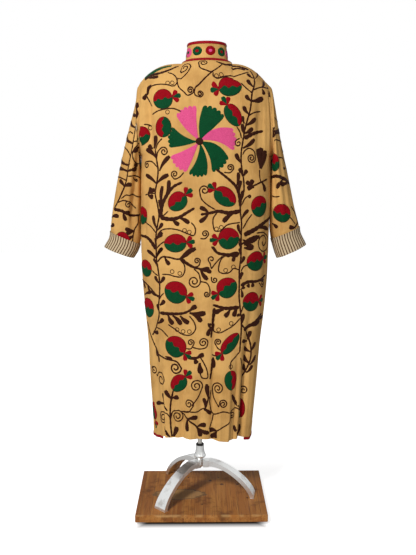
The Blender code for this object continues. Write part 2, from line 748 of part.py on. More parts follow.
def form_half(facing, robe, normals, angles, heights):
    """Points of half of the form: under the cloth at the shoulders, and the FORM sections below them."""
    sizes = {
        name: smooth([r.z for r in FORM], [getattr(r, name) for r in FORM], heights)
        for name in ("left", "right", "back", "front")
    }
    across, deep = section_factors(angles)
    table = np.stack(
        [
            lean(heights) + np.where(across > 0, sizes["left"], sizes["right"]) * across,
            facing * deep * (sizes["back"] if facing > 0 else sizes["front"]),
            heights,
        ],
        axis=-1,
    )
    drop = np.clip((top_edge(angles)[2] - heights) / crest_height(angles), 0, 1)[..., None]
    under = robe - normals * (CLOTH + FORM_REST + 0.004 * ease(drop * 1.5))
    points = under * (1 - ease(drop)) + table * ease(drop)
    neck = np.abs(robe[0, :, 0] - NECK_X) < NECK_HALF + 1e-6
    points[0, neck, 0] = NECK_X + (robe[0, neck, 0] - NECK_X) * 0.92
    points[0, neck, 1] = robe[0, neck, 1] * (0.92 if facing > 0 else 0.82)
    points[0, neck, 2] = robe[0, neck, 2] - FORM_NECK_EASE
    return points, neck


def make_form():
    """The torso, whose two halves meet along the shoulders and sides, with a block for its neck."""
    surfaces = {"back": form_grid(1), "front": form_grid(-1)}
    grids = {name: (points, False, -1 if name == "back" else 1) for name, (_, _, points) in surfaces.items()}
    normals = shared_normals(grids)
    made = bmesh.new()
    bottom = []
    collar_ring = []
    for name, (angles, heights, robe) in surfaces.items():
        points, neck = form_half(1 if name == "back" else -1, robe, normals[name], angles, heights)
        corners = np.array([made.verts.new(p) for p in points.reshape(-1, 3)], dtype=object)
        corners = corners.reshape(points.shape[:2])
        for quad in grid_faces(*points.shape[:2]):
            made.faces.new([corners[q] for q in quad])
        order = slice(None) if name == "back" else slice(None, None, -1)
        bottom.append(list(corners[-1][order]))
        collar_ring.append(list(corners[0][neck][order]))
    loop = collar_ring[0] + collar_ring[1][1:-1]
    turns = [math.atan2((v.co.x - NECK_X) / NECK_HALF, v.co.y / NECK_BACK) for v in loop]
    for z, half_width, half_depth in FORM_NECK:
        ring = []
        for t in turns:
            slim = 1.0 if math.cos(t) > 0 else 0.86
            ring.append(made.verts.new((NECK_X + half_width * math.sin(t), half_depth * slim * math.cos(t), z)))
        for k in range(len(loop)):
            nxt = (k + 1) % len(loop)
            made.faces.new([loop[k], loop[nxt], ring[nxt], ring[k]])
        loop = ring
    made.faces.new(loop)
    made.faces.new(bottom[0] + bottom[1][1:-1])
    bmesh.ops.remove_doubles(made, verts=made.verts, dist=2e-5)
    finish_mesh("dress_form", made, "form", 60)


def leg_line():
    """The top line of a leg as (distance from the pole, height): level at first, then bending down."""
    level = [(r, LEG_RISE - 0.002 * (1 - r / LEG_BEND_START)) for r in (LEG_START, 0.0300)]
    power = 2 / LEG_CURVE
    bend = []
    for turn in np.linspace(90, 0, 13):
        along = max(math.cos(math.radians(turn)), 0.0) ** power
        up = max(math.sin(math.radians(turn)), 0.0) ** power
        bend.append((LEG_BEND_START + LEG_REACH * along, LEG_RISE * up))
    return np.array(level + bend)


def make_leg(name, angle):
    """An arched leg: a channel, open below, swept along its top line, wider and shallower at the foot."""
    line = leg_line()
    heading = np.gradient(line, axis=0)
    heading[-1] = (0.0, -1.0)
    heading /= np.linalg.norm(heading, axis=1, keepdims=True)
    inwards = np.stack([heading[:, 1], -heading[:, 0]], axis=1)
    share = np.linspace(0, 1, len(line)) ** 0.8
    width = LEG_WIDTH[0] + (LEG_WIDTH[1] - LEG_WIDTH[0]) * share
    depth = LEG_DEPTH[1] + (LEG_DEPTH[0] - LEG_DEPTH[1]) * (1 - ease(np.linspace(0, 2.2, len(line))))
    turn = math.radians(angle)
    out, side = np.array([math.cos(turn), math.sin(turn), 0]), np.array([-math.sin(turn), math.cos(turn), 0])
    rings = []
    for (r, z), (dr, dz), w, d in zip(line, inwards, width / 2, depth):
        top = out * r + np.array([0, 0, BOARD_TOP + SEAM_GAP + z])
        down = out * dr + np.array([0, 0, dz])
        channel = [
            (-w, 0),
            (w, 0),
            (w, d),
            (w - LEG_WALL, d),
            (w - LEG_WALL, LEG_WALL),
            (-w + LEG_WALL, LEG_WALL),
            (-w + LEG_WALL, d),
            (-w, d),
        ]
        rings.append([top + side * a + down * b for a, b in channel])
    n = len(rings[0])
    faces = [list(range(n)), list(range((len(rings) - 1) * n, len(rings) * n))]
    for k in range(len(rings) - 1):
        for j in range(n):
            nxt = (j + 1) % n
            faces.append([k * n + j, k * n + nxt, (k + 1) * n + nxt, (k + 1) * n + j])
    return add_object(name, np.concatenate(rings), faces, "aluminium", 40)


def box(name, size, low_corner_z, x, finish, bevel):
    """A board or cleat: a cube at its size, with its edges eased."""
    bpy.ops.mesh.primitive_cube_add(size=1.0)
    obj = bpy.context.active_object
    obj.name = obj.data.name = name
    for vertex in obj.data.vertices:
        vertex.co = [c * s for c, s in zip(vertex.co, size)]
    obj.location = (x, 0.0, low_corner_z + size[2] / 2)
    obj.parent = bpy.data.objects["stand_axis"]
    obj.data.materials.append(material(finish))
    eased = obj.modifiers.new("eased_edges", "BEVEL")
    eased.width = bevel
    eased.segments = 2
    return obj


def make_stand():
    """Cleats, board, legs, turned hub, bushing, point and pole."""
    for name, side in (("cleat_left", 1), ("cleat_right", -1)):
        box(name, CLEAT_SIZE, 0.0, BOARD_X + side * CLEAT_X, "wood", CLEAT_BEVEL)
    box("board", BOARD_SIZE, CLEAT_SIZE[2] + SEAM_GAP, BOARD_X, "wood", BOARD_BEVEL)
    for name, angle in LEG_ANGLES.items():
        make_leg(name, angle)
    low = BOARD_TOP
    bore = POLE_RADIUS + SEAM_GAP
    hub = [
        (0.0, low + 0.0925),
        (0.0085, low + 0.0925),
        (0.0112, low + 0.0950),
        (LEG_START - SEAM_GAP, low + 0.1000),
        (LEG_START - SEAM_GAP, low + 0.1260),
        (0.0170, low + 0.1275),
        (0.0198, low + 0.1300),
        (0.0206, low + 0.1330),
        (0.0198, low + 0.1360),
        (0.0176, low + 0.1410),
        (0.0156, low + 0.1490),
        (0.0144, low + 0.1590),
        (0.0136, HUB_TOP),
        (bore, HUB_TOP),
        (bore, HUB_TOP - HUB_BORE_DEPTH),
        (0.0, HUB_TOP - HUB_BORE_DEPTH),
    ]
    turned("hub", hub, "aluminium")
    point = [(0.0, low + 0.0845), (0.0022, low + 0.0865), (0.0048, low + 0.0905)]
    point += [(0.0050, low + 0.0925 - SEAM_GAP), (0.0, low + 0.0925 - SEAM_GAP)]
    turned("hub_point", point, "rubber", 20)
    ring_low, ring_high = HUB_TOP + SEAM_GAP, HUB_TOP + 0.0055
    ring = [
        (bore, ring_low),
        (0.0136, ring_low),
        (0.0140, ring_low + 0.0015),
        (0.0134, ring_high),
        (bore, ring_high),
    ]
    turned("bushing", ring, "rubber", 24)
    make_pole()


def make_pole():
    """The steel pole from inside the hub to its plate under the dress form."""
    bottom, top = HUB_TOP - HUB_BORE_DEPTH + SEAM_GAP, FORM_BOTTOM - SEAM_GAP
    plate_radius, plate = 0.034, 0.004
    profile = [
        (0.0, bottom),
        (POLE_RADIUS, bottom),
        (POLE_RADIUS, top - plate),
        (plate_radius, top - plate),
        (plate_radius, top),
        (0.0, top),
    ]
    turned("pole", profile, "steel", 24)


clear_scene()
make_robe()
make_form()
make_stand()
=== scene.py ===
"""The looks of a long embroidered chapan robe on its dress form and stand.

The cloth is the frame's own surface, worked out again on a finer grid and with its smaller creases. Every
piece of embroidery is designed flat, in places across and up its panel, and is then laid on that surface.
"""

import math
from collections import namedtuple

import bmesh
import bpy
import numpy as np
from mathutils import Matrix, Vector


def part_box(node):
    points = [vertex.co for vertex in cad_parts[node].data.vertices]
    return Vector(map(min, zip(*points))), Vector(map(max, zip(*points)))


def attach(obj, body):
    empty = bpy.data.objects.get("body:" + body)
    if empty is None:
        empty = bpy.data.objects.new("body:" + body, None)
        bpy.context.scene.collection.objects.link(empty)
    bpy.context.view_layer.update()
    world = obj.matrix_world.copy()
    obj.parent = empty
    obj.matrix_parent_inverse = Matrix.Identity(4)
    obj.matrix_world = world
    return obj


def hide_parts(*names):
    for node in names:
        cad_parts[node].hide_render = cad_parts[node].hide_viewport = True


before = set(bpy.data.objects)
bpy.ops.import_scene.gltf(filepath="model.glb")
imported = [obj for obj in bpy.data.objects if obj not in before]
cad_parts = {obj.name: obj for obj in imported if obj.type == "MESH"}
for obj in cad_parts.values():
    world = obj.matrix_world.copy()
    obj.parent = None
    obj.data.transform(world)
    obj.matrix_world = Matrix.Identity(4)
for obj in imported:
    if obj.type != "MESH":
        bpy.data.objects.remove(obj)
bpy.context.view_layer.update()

# Sizes that the frame's own solids have. The stand's pole is this far from the middle of the footprint.
STAND_X = 0.0175
CLOTH = 0.0024
SEAM_GAP = 0.00036
BINDING = 0.009
BINDING_PROUD = 0.0006
BINDING_CROWN = 0.0011
NECK_Z = 1.4815
NECK_X = -0.0245
NECK_HALF = 0.081
NECK_BACK = 0.068
NECK_FRONT = 0.078
FRONT_NECK_DROP = 0.042
SHOULDER_X = -0.0130
SHOULDER_HALF = 0.201
SHOULDER_DROP = 0.0565
SHOULDER_CURVE = (2.7, 2.25)
CREST_HEIGHT = (0.050, 0.095)
ARMPIT_Z = 1.190
ARMHOLE_DEPTH = 0.052
ARMHOLE_NARROWING = 2.2
SECTION_POWER = 0.84
COLLAR_HEIGHT = 0.0615
COLLAR_TOP_HALF = 0.0615
COLLAR_BASE_HALF = 0.0695
HEM_BINDING_START = 50.0
FRONT_GAP = ((0.24, 0.034), (0.80, 0.020), (1.20, 0.010), (1.50, 0.008))
FRONT_START = 90.000001
FORM_BOTTOM = 0.800
LONGEST_MITRE = 2.4
# Points less than this far apart count as one, and a point's key has this many steps along each axis.
SAME_POINT = 0.00005
KEY_RANGE = 1000000

# Horizontal sections of the robe's body, from the hem up.
Section = namedtuple("Section", "z centre half_width back front")
BODY = [
    Section(*row)
    for row in (
        (0.24, -0.0085, 0.1665, 0.15, 0.146), (0.344, -0.012, 0.1725, 0.148, 0.146),
        (0.457, -0.0135, 0.181, 0.145, 0.146), (0.57, -0.016, 0.187, 0.141, 0.145),
        (0.68, -0.0177, 0.198, 0.137, 0.143), (0.79, -0.0176, 0.2072, 0.133, 0.141),
        (0.93, -0.0175, 0.211, 0.127, 0.138), (1.08, -0.021, 0.2122, 0.121, 0.137),
        (1.19, -0.0217, 0.2115, 0.118, 0.138), (1.3, -0.0205, 0.211, 0.115, 0.131),
        (1.38, -0.0175, 0.2065, 0.106, 0.11), (1.44, -0.013, 0.2, 0.094, 0.09),
        (1.5, -0.013, 0.2, 0.085, 0.08),
    )
]

# Height of the hem round the body: 0 degrees is the centre of the back, 90 the left side seam.
HemPoint = namedtuple("HemPoint", "angle z")
HEM = [
    HemPoint(*row)
    for row in (
        (-180, 0.262), (-135, 0.262), (-90, 0.261), (-62, 0.266), (-46, 0.274), (-20, 0.274), (-6, 0.281),
        (15, 0.284), (45, 0.278), (62, 0.272), (90, 0.261), (135, 0.262), (180, 0.262),
    )
]

# Folds of the body, in the solids too: where they lie, how wide and deep, and between which heights.
Fold = namedtuple("Fold", "angle width depth low high drift")
FOLDS = [
    Fold(*row)
    for row in (
        (-8, 4.5, -0.007, 0.2, 0.95, 1), (-19, 8, 0.009, 0.2, 0.62, 0), (-46, 6, -0.012, 0.2, 0.8, 2),
        (-60, 7, 0.006, 0.2, 0.7, 0), (8, 8, 0.0045, 0.2, 0.72, -3), (21, 6, -0.0055, 0.2, 0.6, -4),
        (36, 8, 0.0045, 0.2, 0.85, 2), (58, 7, -0.006, 0.2, 0.95, -3), (52, 9, -0.009, 1.15, 1.46, 6),
        (74, 8, 0.006, 1.18, 1.42, 0), (-55, 9, -0.008, 1.12, 1.45, -6), (-30, 9, -0.004, 0.95, 1.4, -8),
        (26, 10, -0.004, 0.9, 1.38, 8), (112, 9, -0.009, 0.2, 1.05, 4), (132, 10, 0.008, 0.2, 0.95, 3),
        (150, 8, -0.007, 0.2, 1.1, -3), (-114, 9, -0.008, 0.2, 0.95, -4), (-134, 10, 0.008, 0.2, 1.05, -3),
        (-153, 8, -0.008, 0.2, 0.85, 3), (126, 9, -0.007, 1.2, 1.44, -5), (-126, 9, -0.007, 1.2, 1.44, 5),
    )
]

# Smaller creases that only this file adds, in the same terms.
CREASES = [
    Fold(*row)
    for row in (
        (2.5, 2, -0.0055, 0.2, 0.62, -2), (11, 2, 0.0043, 0.2, 0.48, -1), (30, 2.6, -0.0061, 0.2, 0.7, 2),
        (40, 2.6, 0.0049, 0.2, 0.62, 3), (-24, 2.4, 0.0052, 0.2, 0.6, 1), (-33, 2.2, -0.0061, 0.2, 0.66, 2),
        (-1, 1.6, -0.003, 1.3, 1.47, 0), (7.5, 1.8, -0.0028, 1.26, 1.47, 2),
        (80, 3.6, -0.014, 1.02, 1.43, 0), (-79, 3.6, -0.015, 1.04, 1.44, 0), (54, 4, -0.005, 1.17, 1.45, 5),
        (62, 3.2, 0.0028, 1.17, 1.43, 4), (-46, 4.5, -0.0055, 1.1, 1.45, -6),
        (-59, 3.4, 0.0034, 1.14, 1.42, -4), (-7, 2, -0.0042, 0.2, 0.88, 1),
        (-13, 2.4, 0.0049, 0.2, 0.56, 0), (-45.5, 3, -0.0062, 0.2, 0.8, 2), (-51, 3, 0.0055, 0.2, 0.7, 2),
        (21, 2.4, -0.0043, 0.2, 0.52, -3), (-4, 1.8, -0.0022, 1.34, 1.47, 2),
        (3, 2.2, -0.0018, 1.3, 1.47, -1), (-11, 2.4, -0.002, 1.28, 1.46, 3),
        (13, 3, -0.0016, 1.22, 1.45, 2), (-20, 2.6, -0.0014, 1.05, 1.32, -4),
        (-2, 3, -0.0016, 0.95, 1.18, 1), (12, 3.4, -0.0018, 0.74, 1.1, -2),
        (-16, 2.8, 0.0016, 0.62, 1.02, 2), (38, 3, -0.002, 0.62, 1.04, -5), (-38, 3, -0.0022, 0.7, 1.12, 3),
        (66, 3.4, -0.003, 0.8, 1.17, -6), (78, 4, 0.0024, 0.5, 1.12, -4),
        (-68, 3.6, -0.0026, 0.66, 1.16, 5), (-80, 4, -0.003, 0.3, 0.92, -3),
        (5, 2.2, -0.0035, 0.2, 0.5, -2), (14, 2.4, 0.0029, 0.2, 0.44, 1), (-28, 2.6, -0.0043, 0.2, 0.52, 3),
        (-36, 2.6, 0.0038, 0.2, 0.56, 2), (46, 3, -0.0041, 0.2, 0.66, -3), (72, 3.2, -0.0046, 0.2, 0.6, 2),
        (104, 3.4, 0.0026, 0.2, 0.84, 2), (122, 3, -0.0041, 0.2, 0.7, -2), (141, 3, -0.0022, 0.2, 0.92, 3),
        (163, 3.2, -0.0029, 0.2, 0.6, -2), (-104, 3.2, -0.0024, 0.2, 0.76, 2),
        (-125, 3, -0.003, 0.2, 0.82, -3), (-144, 3.4, 0.0032, 0.2, 0.66, 2),
        (-165, 3, -0.0018, 0.2, 0.9, 1), (138, 3.4, -0.0026, 1.02, 1.4, 6),
        (-140, 3.4, -0.0022, 1, 1.38, -5),
    )
]

# Sleeves: the line of the outer edge and the underarm seam, the middle's distance from the pole towards
# the back, and the half-thickness from front to back. Row 0, the armhole, comes from the body.
SleeveRow = namedtuple("SleeveRow", "outer_x outer_z inner_x inner_z middle_y half_depth")
SLEEVES = {
    place: [SleeveRow(*row) for row in rows]
    for place, rows in {
        "left": (
            (0.1985, 1.408, 0.199, 1.18, -0.002, 0.056), (0.206, 1.36, 0.1925, 1.145, -0.004, 0.058),
            (0.229, 1.278, 0.1922, 1.098, -0.009, 0.0595), (0.251, 1.195, 0.1928, 1.049, -0.013, 0.058),
            (0.271, 1.11, 0.194, 0.999, -0.017, 0.0535), (0.287, 1.026, 0.1948, 0.952, -0.021, 0.048),
            (0.2965, 0.96, 0.1975, 0.912, -0.024, 0.042), (0.2985, 0.921, 0.208, 0.886, -0.027, 0.038),
            (0.312, 0.889, 0.229, 0.857, -0.03, 0.04),
        ),
        "right": (
            (-0.232, 1.408, -0.242, 1.18, -0.002, 0.056), (-0.243, 1.36, -0.2362, 1.145, -0.004, 0.058),
            (-0.258, 1.278, -0.2345, 1.098, -0.006, 0.0595), (-0.276, 1.195, -0.2336, 1.051, -0.009, 0.058),
            (-0.296, 1.11, -0.233, 1.003, -0.012, 0.0535), (-0.314, 1.028, -0.234, 0.958, -0.014, 0.0485),
            (-0.331, 0.966, -0.239, 0.924, -0.016, 0.0435), (-0.334, 0.935, -0.248, 0.903, -0.018, 0.039),
            (-0.349, 0.897, -0.266, 0.858, -0.02, 0.0415),
        ),
    }.items()
}
SLEEVE_END = 8.9

# Creases of the sleeves: where round the sleeve (90 is the middle of its back), and between which rows.
SleeveCrease = namedtuple("SleeveCrease", "turn width depth start end drift")
SLEEVE_CREASES = {
    place: [SleeveCrease(*row) for row in rows]
    for place, rows in {
        "left": (
            (136, 26, -0.0125, 1, 7.4, -10), (58, 13, -0.0046, 1.2, 6.4, 14), (88, 12, 0.003, 1.6, 7.4, 10),
            (120, 13, -0.0056, 1.4, 6.8, -8), (150, 11, 0.0034, 2.4, 7.2, -4),
            (28, 12, 0.0026, 2.6, 7.6, 8), (98, 8, -0.003, 5.2, 8.6, -22), (215, 15, -0.005, 1.4, 6.6, 12),
            (252, 14, 0.0036, 1.8, 7, -6), (292, 14, -0.0044, 2, 7.6, 8), (330, 12, -0.003, 3.2, 8, -6),
        ),
        "right": (
            (62, 12, -0.004, 1.6, 7, 10), (92, 12, 0.0032, 1.2, 6.8, -8), (126, 13, -0.006, 1.4, 7.4, -10),
            (154, 12, 0.003, 2, 7, 5), (34, 12, -0.0026, 3, 7.8, 8), (104, 8, -0.0028, 4.8, 8.4, 18),
            (218, 15, -0.0046, 1.6, 6.9, -10), (256, 14, 0.0034, 1.8, 7.2, 8),
            (290, 14, -0.0046, 1.6, 7, -8), (328, 12, -0.0028, 3, 7.6, 6),
        ),
    }.items()
}

CUFF_START = {"left": 7.35, "right": 7.15}
CUFF_END = 9.05
CUFF_OFF = (0.0007, 0.0060)
CUFF_WALL = 0.0026
CUFF_LIP = 0.0048
CUFF_ROLL = 0.10
CUFF_ROWS = 9

# Rows and columns that the cloth is divided into.
CREST_STEPS = 12
CHEST_STEPS = 38
SKIRT_STEPS = 184
SHOULDER_STEPS = 48
BACK_NECK_STEPS = 40
FRONT_NECK_STEPS = 20
SLEEVE_STEPS = 96


def smooth(knots, values, at):
    """A cubic curve through values at knots, whose slope at each is that of its neighbours' chord."""
    knots, values = np.asarray(knots, float), np.asarray(values, float)
    slope = np.gradient(values, knots)
    i = np.clip(np.searchsorted(knots, at) - 1, 0, len(knots) - 2)
    width = knots[i + 1] - knots[i]
    t = np.clip((at - knots[i]) / width, 0.0, 1.0)
    start = (1 + 2 * t) * (1 - t) ** 2 * values[i] + t * (1 - t) ** 2 * width * slope[i]
    end = t * t * (3 - 2 * t) * values[i + 1] + t * t * (t - 1) * width * slope[i + 1]
    return start + end


def ease(t):
    """0 below 0, 1 above 1, and an even slope between."""
    t = np.clip(t, 0.0, 1.0)
    return t * t * (3 - 2 * t)


def unit(vectors):
    """The vectors, each made one long."""
    return vectors / np.maximum(np.linalg.norm(vectors, axis=-1, keepdims=True), 1e-12)


# The robe's body


def section_factors(angle):
    """How far across (signed) and how far deep a point lies at an angle, as shares of the half-sizes."""
    across, deep = np.sin(np.radians(angle)), np.cos(np.radians(angle))
    return np.sign(across) * np.abs(across) ** SECTION_POWER, np.abs(deep) ** SECTION_POWER


def angle_at(share):
    """The angle, from 0 to 90, at which a section is that share of its half-width across."""
    return np.degrees(np.arcsin(np.clip(np.abs(share), 0, 1) ** (1 / SECTION_POWER)))


def top_edge(angle):
    """(x, y, z) of the body's top edge: the shoulder seam, and inside it the neckline.

    The neckline is half an ellipse behind and half a deeper one in front, where it also dips. The seam falls
    from the neck with a power of the share of its way out.
    """
    across, _ = section_factors(angle)
    x = SHOULDER_X + SHOULDER_HALF * across
    from_neck = x - NECK_X
    reach = SHOULDER_HALF + np.sign(from_neck) * (SHOULDER_X - NECK_X) - NECK_HALF
    past = np.clip((np.abs(from_neck) - NECK_HALF) / reach, 0, 1)
    inside = np.sqrt(np.clip(1 - (from_neck / NECK_HALF) ** 2, 0, 1))
    back = np.abs(angle) < 90
    y = np.where(back, NECK_BACK, -NECK_FRONT) * inside
    curve = np.where(from_neck > 0, *SHOULDER_CURVE)
    z = NECK_Z - SHOULDER_DROP * past**curve - np.where(back, 0.0, FRONT_NECK_DROP) * inside**2
    return x, y, z


def fold_depth(angle, z):
    """How far the folds and creases push the cloth out: each is a bell across it that fades at its ends."""
    total = np.zeros(np.broadcast(angle, z).shape)
    for fold in FOLDS + CREASES:
        span = (np.asarray(z) - fold.low) / (fold.high - fold.low)
        middle = fold.angle + fold.drift * span
        away = (angle - middle + 180) % 360 - 180
        shape = np.exp(-((away / fold.width) ** 2))
        ends = ease((1 - span) / 0.6) * np.where(fold.low > 0.5, ease(span / 0.4), 1.0)
        total = total + fold.depth * shape * np.where((span >= 0) & (span <= 1), ends, 0.0)
    return total


def crest_height(angle):
    """How far below the top edge the cloth has turned from the shoulder to hang straight."""
    at_tip, at_neck = CREST_HEIGHT
    return at_tip + (at_neck - at_tip) * np.cos(np.radians(angle)) ** 2


def body_sizes(z):
    """Middle, half-width, depth at the back and depth at the front of the section at a height."""
    heights = [s.z for s in BODY]
    return [smooth(heights, [getattr(s, name) for s in BODY], z) for name in Section._fields[1:]]


def body_point(angle, z):
    """A point of the body's outer surface at an angle round it and a height.

    It is the section's half-width times a power of the angle's sine across, and its depth times the same power
    of the cosine. Near the top a quarter of an ellipse leads in to the top edge, half an ellipse opens each
    side into an armhole, and the folds push the point out, nearly square to the section.
    """
    angle, z = np.broadcast_arrays(np.asarray(angle, float), np.asarray(z, float))
    centre, half, back, front = body_sizes(z)
    across, deep = section_factors(angle)
    facing = np.where(np.abs(angle) <= 90, 1.0, -1.0)
    top_x, top_y, top_z = top_edge(angle)
    drop = np.clip((top_z - z) / crest_height(angle), 0, 1)
    out = np.sqrt(1 - (1 - drop) ** 2)
    tip_z = NECK_Z - SHOULDER_DROP
    down = np.clip((tip_z - z) / (tip_z - ARMPIT_Z), 0, 1)
    armhole = ARMHOLE_DEPTH * 2 * np.sqrt(down * (1 - down)) * (1 - deep) ** ARMHOLE_NARROWING
    x = centre + half * across
    x = x + (top_x - x) * (1 - out)
    y = top_y * (1 - out) + facing * out * deep * np.where(facing > 0, back, front) + facing * armhole
    push = fold_depth(angle, z) * ease(drop)
    length = np.hypot(across / half, deep / back)
    x = x + push * (across / half) / length
    y = y + push * facing * (deep / back) / length
    return np.stack([x, y, z], axis=-1)


def hem_height(angle):
    """Height of the hem at an angle: a smooth curve through its table."""
    return smooth([h.angle for h in HEM], [h.z for h in HEM], angle)


def crest_length(angle):
    """Length of the cloth over the crest: a quarter of an ellipse from the seam to where it hangs."""
    _, top_y, top_z = top_edge(angle)
    tall = crest_height(angle)
    _, _, back, front = body_sizes(top_z - tall)
    deep = section_factors(angle)[1] * np.where(np.abs(angle) <= 90, back, front) - np.abs(top_y)
    deep = np.abs(deep)
    return math.pi / 4 * (3 * (tall + deep) - np.sqrt((3 * tall + deep) * (tall + 3 * deep)))


# Rows down the cloth: 0 to 1 goes over the crest, to 2 down to the armpit, and to 3 down to the hem.
ROWS = np.concatenate(
    [
        np.linspace(0, 1, CREST_STEPS + 1)[:-1],
        np.linspace(1, 2, CHEST_STEPS + 1)[:-1],
        np.linspace(2, 3, SKIRT_STEPS + 1),
    ]
)


def row_height(angle, row):
    """Height at a row, and how far up the cloth it is."""
    _, _, top = top_edge(angle)
    tall = crest_height(angle)
    turn = np.clip(row, 0, 1) * math.pi / 2
    over = top - tall * (1 - np.cos(turn))
    start = top - tall
    chest = start + (ARMPIT_Z - start) * np.clip(row - 1, 0, 1)
    skirt = ARMPIT_Z + (hem_height(angle) - ARMPIT_Z) * np.clip(row - 2, 0, 1)
    below = np.where(row <= 2, chest, skirt)
    up = np.where(row < 1, start + crest_length(angle) * (1 - np.clip(row, 0, 1)), below)
    return np.where(row < 1, over, below), up


def front_edge_angle(side, z, inwards=0.0):
    """The angle of a front edge at a height, inwards metres nearer the middle of the front."""
    half = body_sizes(z)[1]
    gap = np.interp(z, [g[0] for g in FRONT_GAP], [g[1] for g in FRONT_GAP])
    to_neck = (NECK_X - SHOULDER_X) * ease((z - FORM_BOTTOM) / (ARMPIT_Z - FORM_BOTTOM))
    across = side * (gap / 2 + BINDING - inwards) + to_neck
    return side * 180.0 - np.sign(across) * angle_at(across / half)


def corner_angle(side):
    """The angle of the column that ends at the neck's corner on one shoulder."""
    across = (NECK_X - SHOULDER_X + side * NECK_HALF) / SHOULDER_HALF
    return side * float(angle_at(across))


def back_columns():
    """Column angles of the back, from the right side seam to the left one."""
    right, left = corner_angle(-1), corner_angle(1)
    parts = [(-90, right, SHOULDER_STEPS), (right, left, BACK_NECK_STEPS)]
    columns = [np.linspace(a, b, n + 1)[:-1] for a, b, n in parts]
    return np.concatenate([*columns, np.linspace(left, 90, SHOULDER_STEPS + 1)])


def front_columns(side):
    """Column angles of one front at each row, from its side seam to its front edge."""
    corner = side * 180 - corner_angle(side)
    shoulder = np.linspace(side * FRONT_START, corner, SHOULDER_STEPS + 1)
    edge = front_edge_angle(side, row_height(side * 179.0, ROWS)[0])
    share = np.linspace(0, 1, FRONT_NECK_STEPS + 1)[1:]
    inner = corner + (edge[:, None] - corner) * share[None, :]
    return np.concatenate([np.repeat(shoulder[None, :], len(edge), axis=0), inner], axis=1)


def panel_grid(angles):
    """Points and heights up the cloth for columns of angles, one row of them for each of ROWS."""
    height, up = row_height(angles, ROWS[:, None])
    return body_point(angles, height), up


def front_binding_grid(side, columns=9):
    """The binding that carries on from a front edge, as rows down it and columns across."""
    edge = front_columns(side)[:, -1]
    heights = row_height(edge, ROWS)[0]
    shares = np.linspace(0, 1, columns)
    angles = np.stack([front_edge_angle(side, heights, BINDING * share) for share in shares], axis=1)
    points = body_point(angles, heights[:, None])
    _, y, z = top_edge(angles[0])
    points[0, :, 1] = y
    points[0, :, 2] = z
    return points


def hem_binding_grid(side, rows=9):
    """The binding under the hem, from HEM_BINDING_START round one side to the front edge."""
    back = back_columns()
    back = back[side * back >= HEM_BINDING_START]
    back = back[np.argsort(np.abs(back))]
    bottom = front_columns(side)[-1]
    end = front_edge_angle(side, hem_height(bottom[-1]), BINDING)
    angles = np.concatenate([back, bottom[1:], np.linspace(bottom[-1], end, 5)[1:]])
    shares = np.linspace(0, 1, rows)[:, None]
    return body_point(angles[None, :], hem_height(angles)[None, :] - BINDING * shares)


# The collar


def collar_point(turn, up):
    """A point of the collar at a turn round the neck, where 0 is the back, up metres above the neckline.

    It lies on an ellipse that draws in over the binding and then evenly, and dips in front by the square of
    the cosine.
    """
    share = np.clip(up / COLLAR_HEIGHT, 0, 1)
    base = ease(up / BINDING)
    half = NECK_HALF + (COLLAR_BASE_HALF - NECK_HALF) * base + (COLLAR_TOP_HALF - COLLAR_BASE_HALF) * share
    slim = (half - NECK_HALF) * 0.75
    angle = np.radians(turn)
    depth = np.where(np.cos(angle) >= 0, NECK_BACK, NECK_FRONT) + slim
    front = np.clip(-np.cos(angle), 0, 1) ** 2
    x = NECK_X + half * np.sin(angle)
    y = depth * np.cos(angle)
    z = NECK_Z + up - front * (FRONT_NECK_DROP + 0.10 * up)
    return np.stack([x, y, z], axis=-1)


def neck_turns(grids):
    """Turns of the collar's columns, matched to the body's points along the neckline."""

    def along(grid, columns):
        edge = grid[0, columns]
        depth = np.where(edge[:, 1] >= 0, NECK_BACK, NECK_FRONT)
        return np.degrees(np.arctan2((edge[:, 0] - NECK_X) / NECK_HALF, edge[:, 1] / depth))

    neck = slice(SHOULDER_STEPS, SHOULDER_STEPS + BACK_NECK_STEPS + 1)
    back = along(grids["back"], neck)
    left = along(grids["front_left"], slice(SHOULDER_STEPS, None))
    right = along(grids["front_right"], slice(SHOULDER_STEPS, None))
    return np.concatenate([right[::-1], back[1:-1], left])


# Sleeves and cuffs


def armhole_edge(name):
    """The body's points round an armhole, their turns, and the armhole's own row of the sleeve's table.

    They run from the shoulder's tip down the back and up the front. A point's turn is the angle whose cosine
    falls evenly from 1 at the tip to -1 at the armpit.
    """
    side = 1 if name == "left" else -1
    rows = ROWS[ROWS <= 2.0001]
    back = body_point(side * 90.0, row_height(side * 90.0, rows)[0])
    front = body_point(side * FRONT_START, row_height(side * FRONT_START, rows)[0])
    edge = np.concatenate([back, front[-2:0:-1]])
    down = np.clip((edge[0, 2] - edge[:, 2]) / (edge[0, 2] - back[-1, 2]), 0, 1)
    turns = np.degrees(np.arccos(1 - 2 * down))
    turns[len(back) :] = 360 - turns[len(back) :]
    return edge, turns, (edge[0, 0], edge[0, 2], back[-1, 0], back[-1, 2], 0.0, ARMHOLE_DEPTH)


ARMHOLES = {name: armhole_edge(name) for name in SLEEVES}


